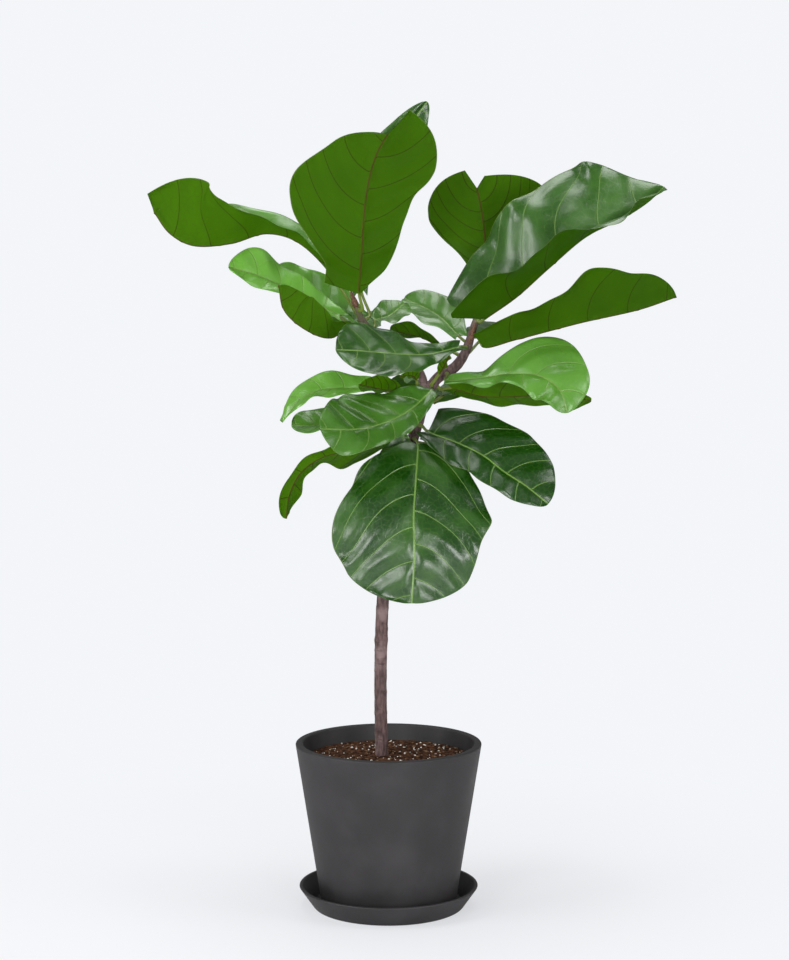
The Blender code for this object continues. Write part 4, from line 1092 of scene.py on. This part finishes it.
SHEATHS = {
    "bud_left": [
        (-0.0503, 0.0018, 0.9668, 0.004), (-0.053, 0.001, 0.974, 0.0046),
        (-0.057, 0.0, 0.984, 0.003), (-0.06, -0.001, 0.994, 0.0006),
    ],
    "bud_right": [
        (0.1265, -0.0062, 0.908, 0.0012), (0.13, -0.0062, 0.916, 0.003),
        (0.1342, -0.0055, 0.93, 0.0028), (0.1375, -0.004, 0.942, 0.0007),
    ],
    "sheath_fork": [
        (0.058, -0.0079, 0.798, 0.0012), (0.0618, -0.0089, 0.808, 0.0028),
        (0.0645, -0.0089, 0.818, 0.0028), (0.0656, -0.008, 0.826, 0.0009),
    ],
}

PAPER_DARK = (0.050, 0.022, 0.012, 1)
PAPER_LIGHT = (0.17, 0.085, 0.05, 1)

paper = crumb_material("papery_sheath", PAPER_DARK, PAPER_LIGHT, 0.75)


def pleated(distance, turn):
    """Seven pleats round the sheath, which wind a little as they run up it."""
    return 1 + 0.10 * np.cos(7 * turn + 60 * distance) + 0.05 * np.cos(3 * turn)


for name, points in SHEATHS.items():
    bm = rolled(rod_rings(smooth_path(points), 40, 42, pleated))
    bmesh.ops.recalc_face_normals(bm, faces=bm.faces)
    finished(piece_from(bm, name + "_pleated"), name, "sheath", paper)

# ---------------------------------------------------------------- floor and studio
# A plain pale floor that runs out of sight, a white surround, and soft lamps at
# both sides, in front and above. None of it belongs to the plant.

BACKDROP = (0.90, 0.915, 0.945, 1)
FLOOR_PALE = (0.82, 0.82, 0.84, 1)
FLOOR_SIZE = 12.0
SHADED_TO = 1.1
FILL_LIGHT = 0.27
LAMP_TARGET = Vector((0.0, 0.0, 0.75))

bm = bmesh.new()
bmesh.ops.create_grid(bm, x_segments=1, y_segments=1, size=FLOOR_SIZE)
floor = piece_from(bm, "studio_floor")
pale, tree, shader = new_material("pale_floor", 0.55, 0.25)
shader.inputs["Base Color"].default_value = FLOOR_PALE

# To the camera the floor turns into the backdrop away from the plant, so no horizon shows.
seen = node(tree, "ShaderNodeLightPath")
lit = node(tree, "ShaderNodeEmission", {"Color": BACKDROP, "Strength": 1.0})
spot = node(tree, "ShaderNodeTexCoord").outputs["Object"]
away = node(tree, "ShaderNodeVectorMath", {0: spot}, operation="LENGTH").outputs["Value"]
fade = maths(tree, "MULTIPLY", seen.outputs["Is Camera Ray"],
             stepped(tree, away, 0.1, SHADED_TO, 0.6, 1.0))
floor_mix = node(tree, "ShaderNodeMixShader", {0: fade, 1: shader.outputs[0], 2: lit.outputs[0]})
tree.links.new(floor_mix.outputs[0], tree.nodes["Material Output"].inputs["Surface"])
floor.data.materials.append(pale)

world = bpy.data.worlds.new("pale_studio")
world.use_nodes = True
bpy.context.scene.world = world
sky = world.node_tree
fill = sky.nodes["Background"]
fill.inputs["Color"].default_value = (1.0, 1.0, 1.0, 1)
fill.inputs["Strength"].default_value = FILL_LIGHT
seen = node(sky, "ShaderNodeLightPath")
backdrop = node(sky, "ShaderNodeBackground", {"Color": BACKDROP, "Strength": 1.0})
choice = node(sky, "ShaderNodeMixShader", {0: seen.outputs["Is Camera Ray"], 1: fill.outputs[0],
                                           2: backdrop.outputs[0]})
sky.links.new(choice.outputs[0], sky.nodes["World Output"].inputs["Surface"])

for name, place, size, power in (
    ("side_left", (-2.2, -1.0, 2.0), 1.3, 40.0),
    ("side_right", (2.3, -0.8, 1.7), 1.3, 24.0),
    ("overhead", (0.1, 0.4, 3.0), 1.5, 40.0),
    ("front_left", (-1.4, -2.5, 1.1), 0.9, 32.0),
    ("front_right", (1.0, -2.8, 0.6), 1.0, 40.0),
):
    lamp = bpy.data.lights.new(name, "AREA")
    lamp.size = size
    lamp.energy = power
    holder = bpy.data.objects.new(name, lamp)
    bpy.context.scene.collection.objects.link(holder)
    holder.location = place
    towards = LAMP_TARGET - Vector(place)
    holder.rotation_euler = towards.to_track_quat("-Z", "Y").to_euler()

CAMERA_PLACE = (0.0095, -3.57, 1.035)
CAMERA_DOWN = 5.49
CAMERA_LENS = 84.4

view = bpy.data.cameras.new("camera")
view.lens = CAMERA_LENS
view.sensor_width = 36.0
camera = bpy.data.objects.new("camera", view)
camera.location = CAMERA_PLACE
camera.rotation_euler = (math.radians(90 - CAMERA_DOWN), 0.0, 0.0)
bpy.context.scene.collection.objects.link(camera)
bpy.context.scene.camera = camera
bpy.context.scene.view_settings.view_transform = "Standard"
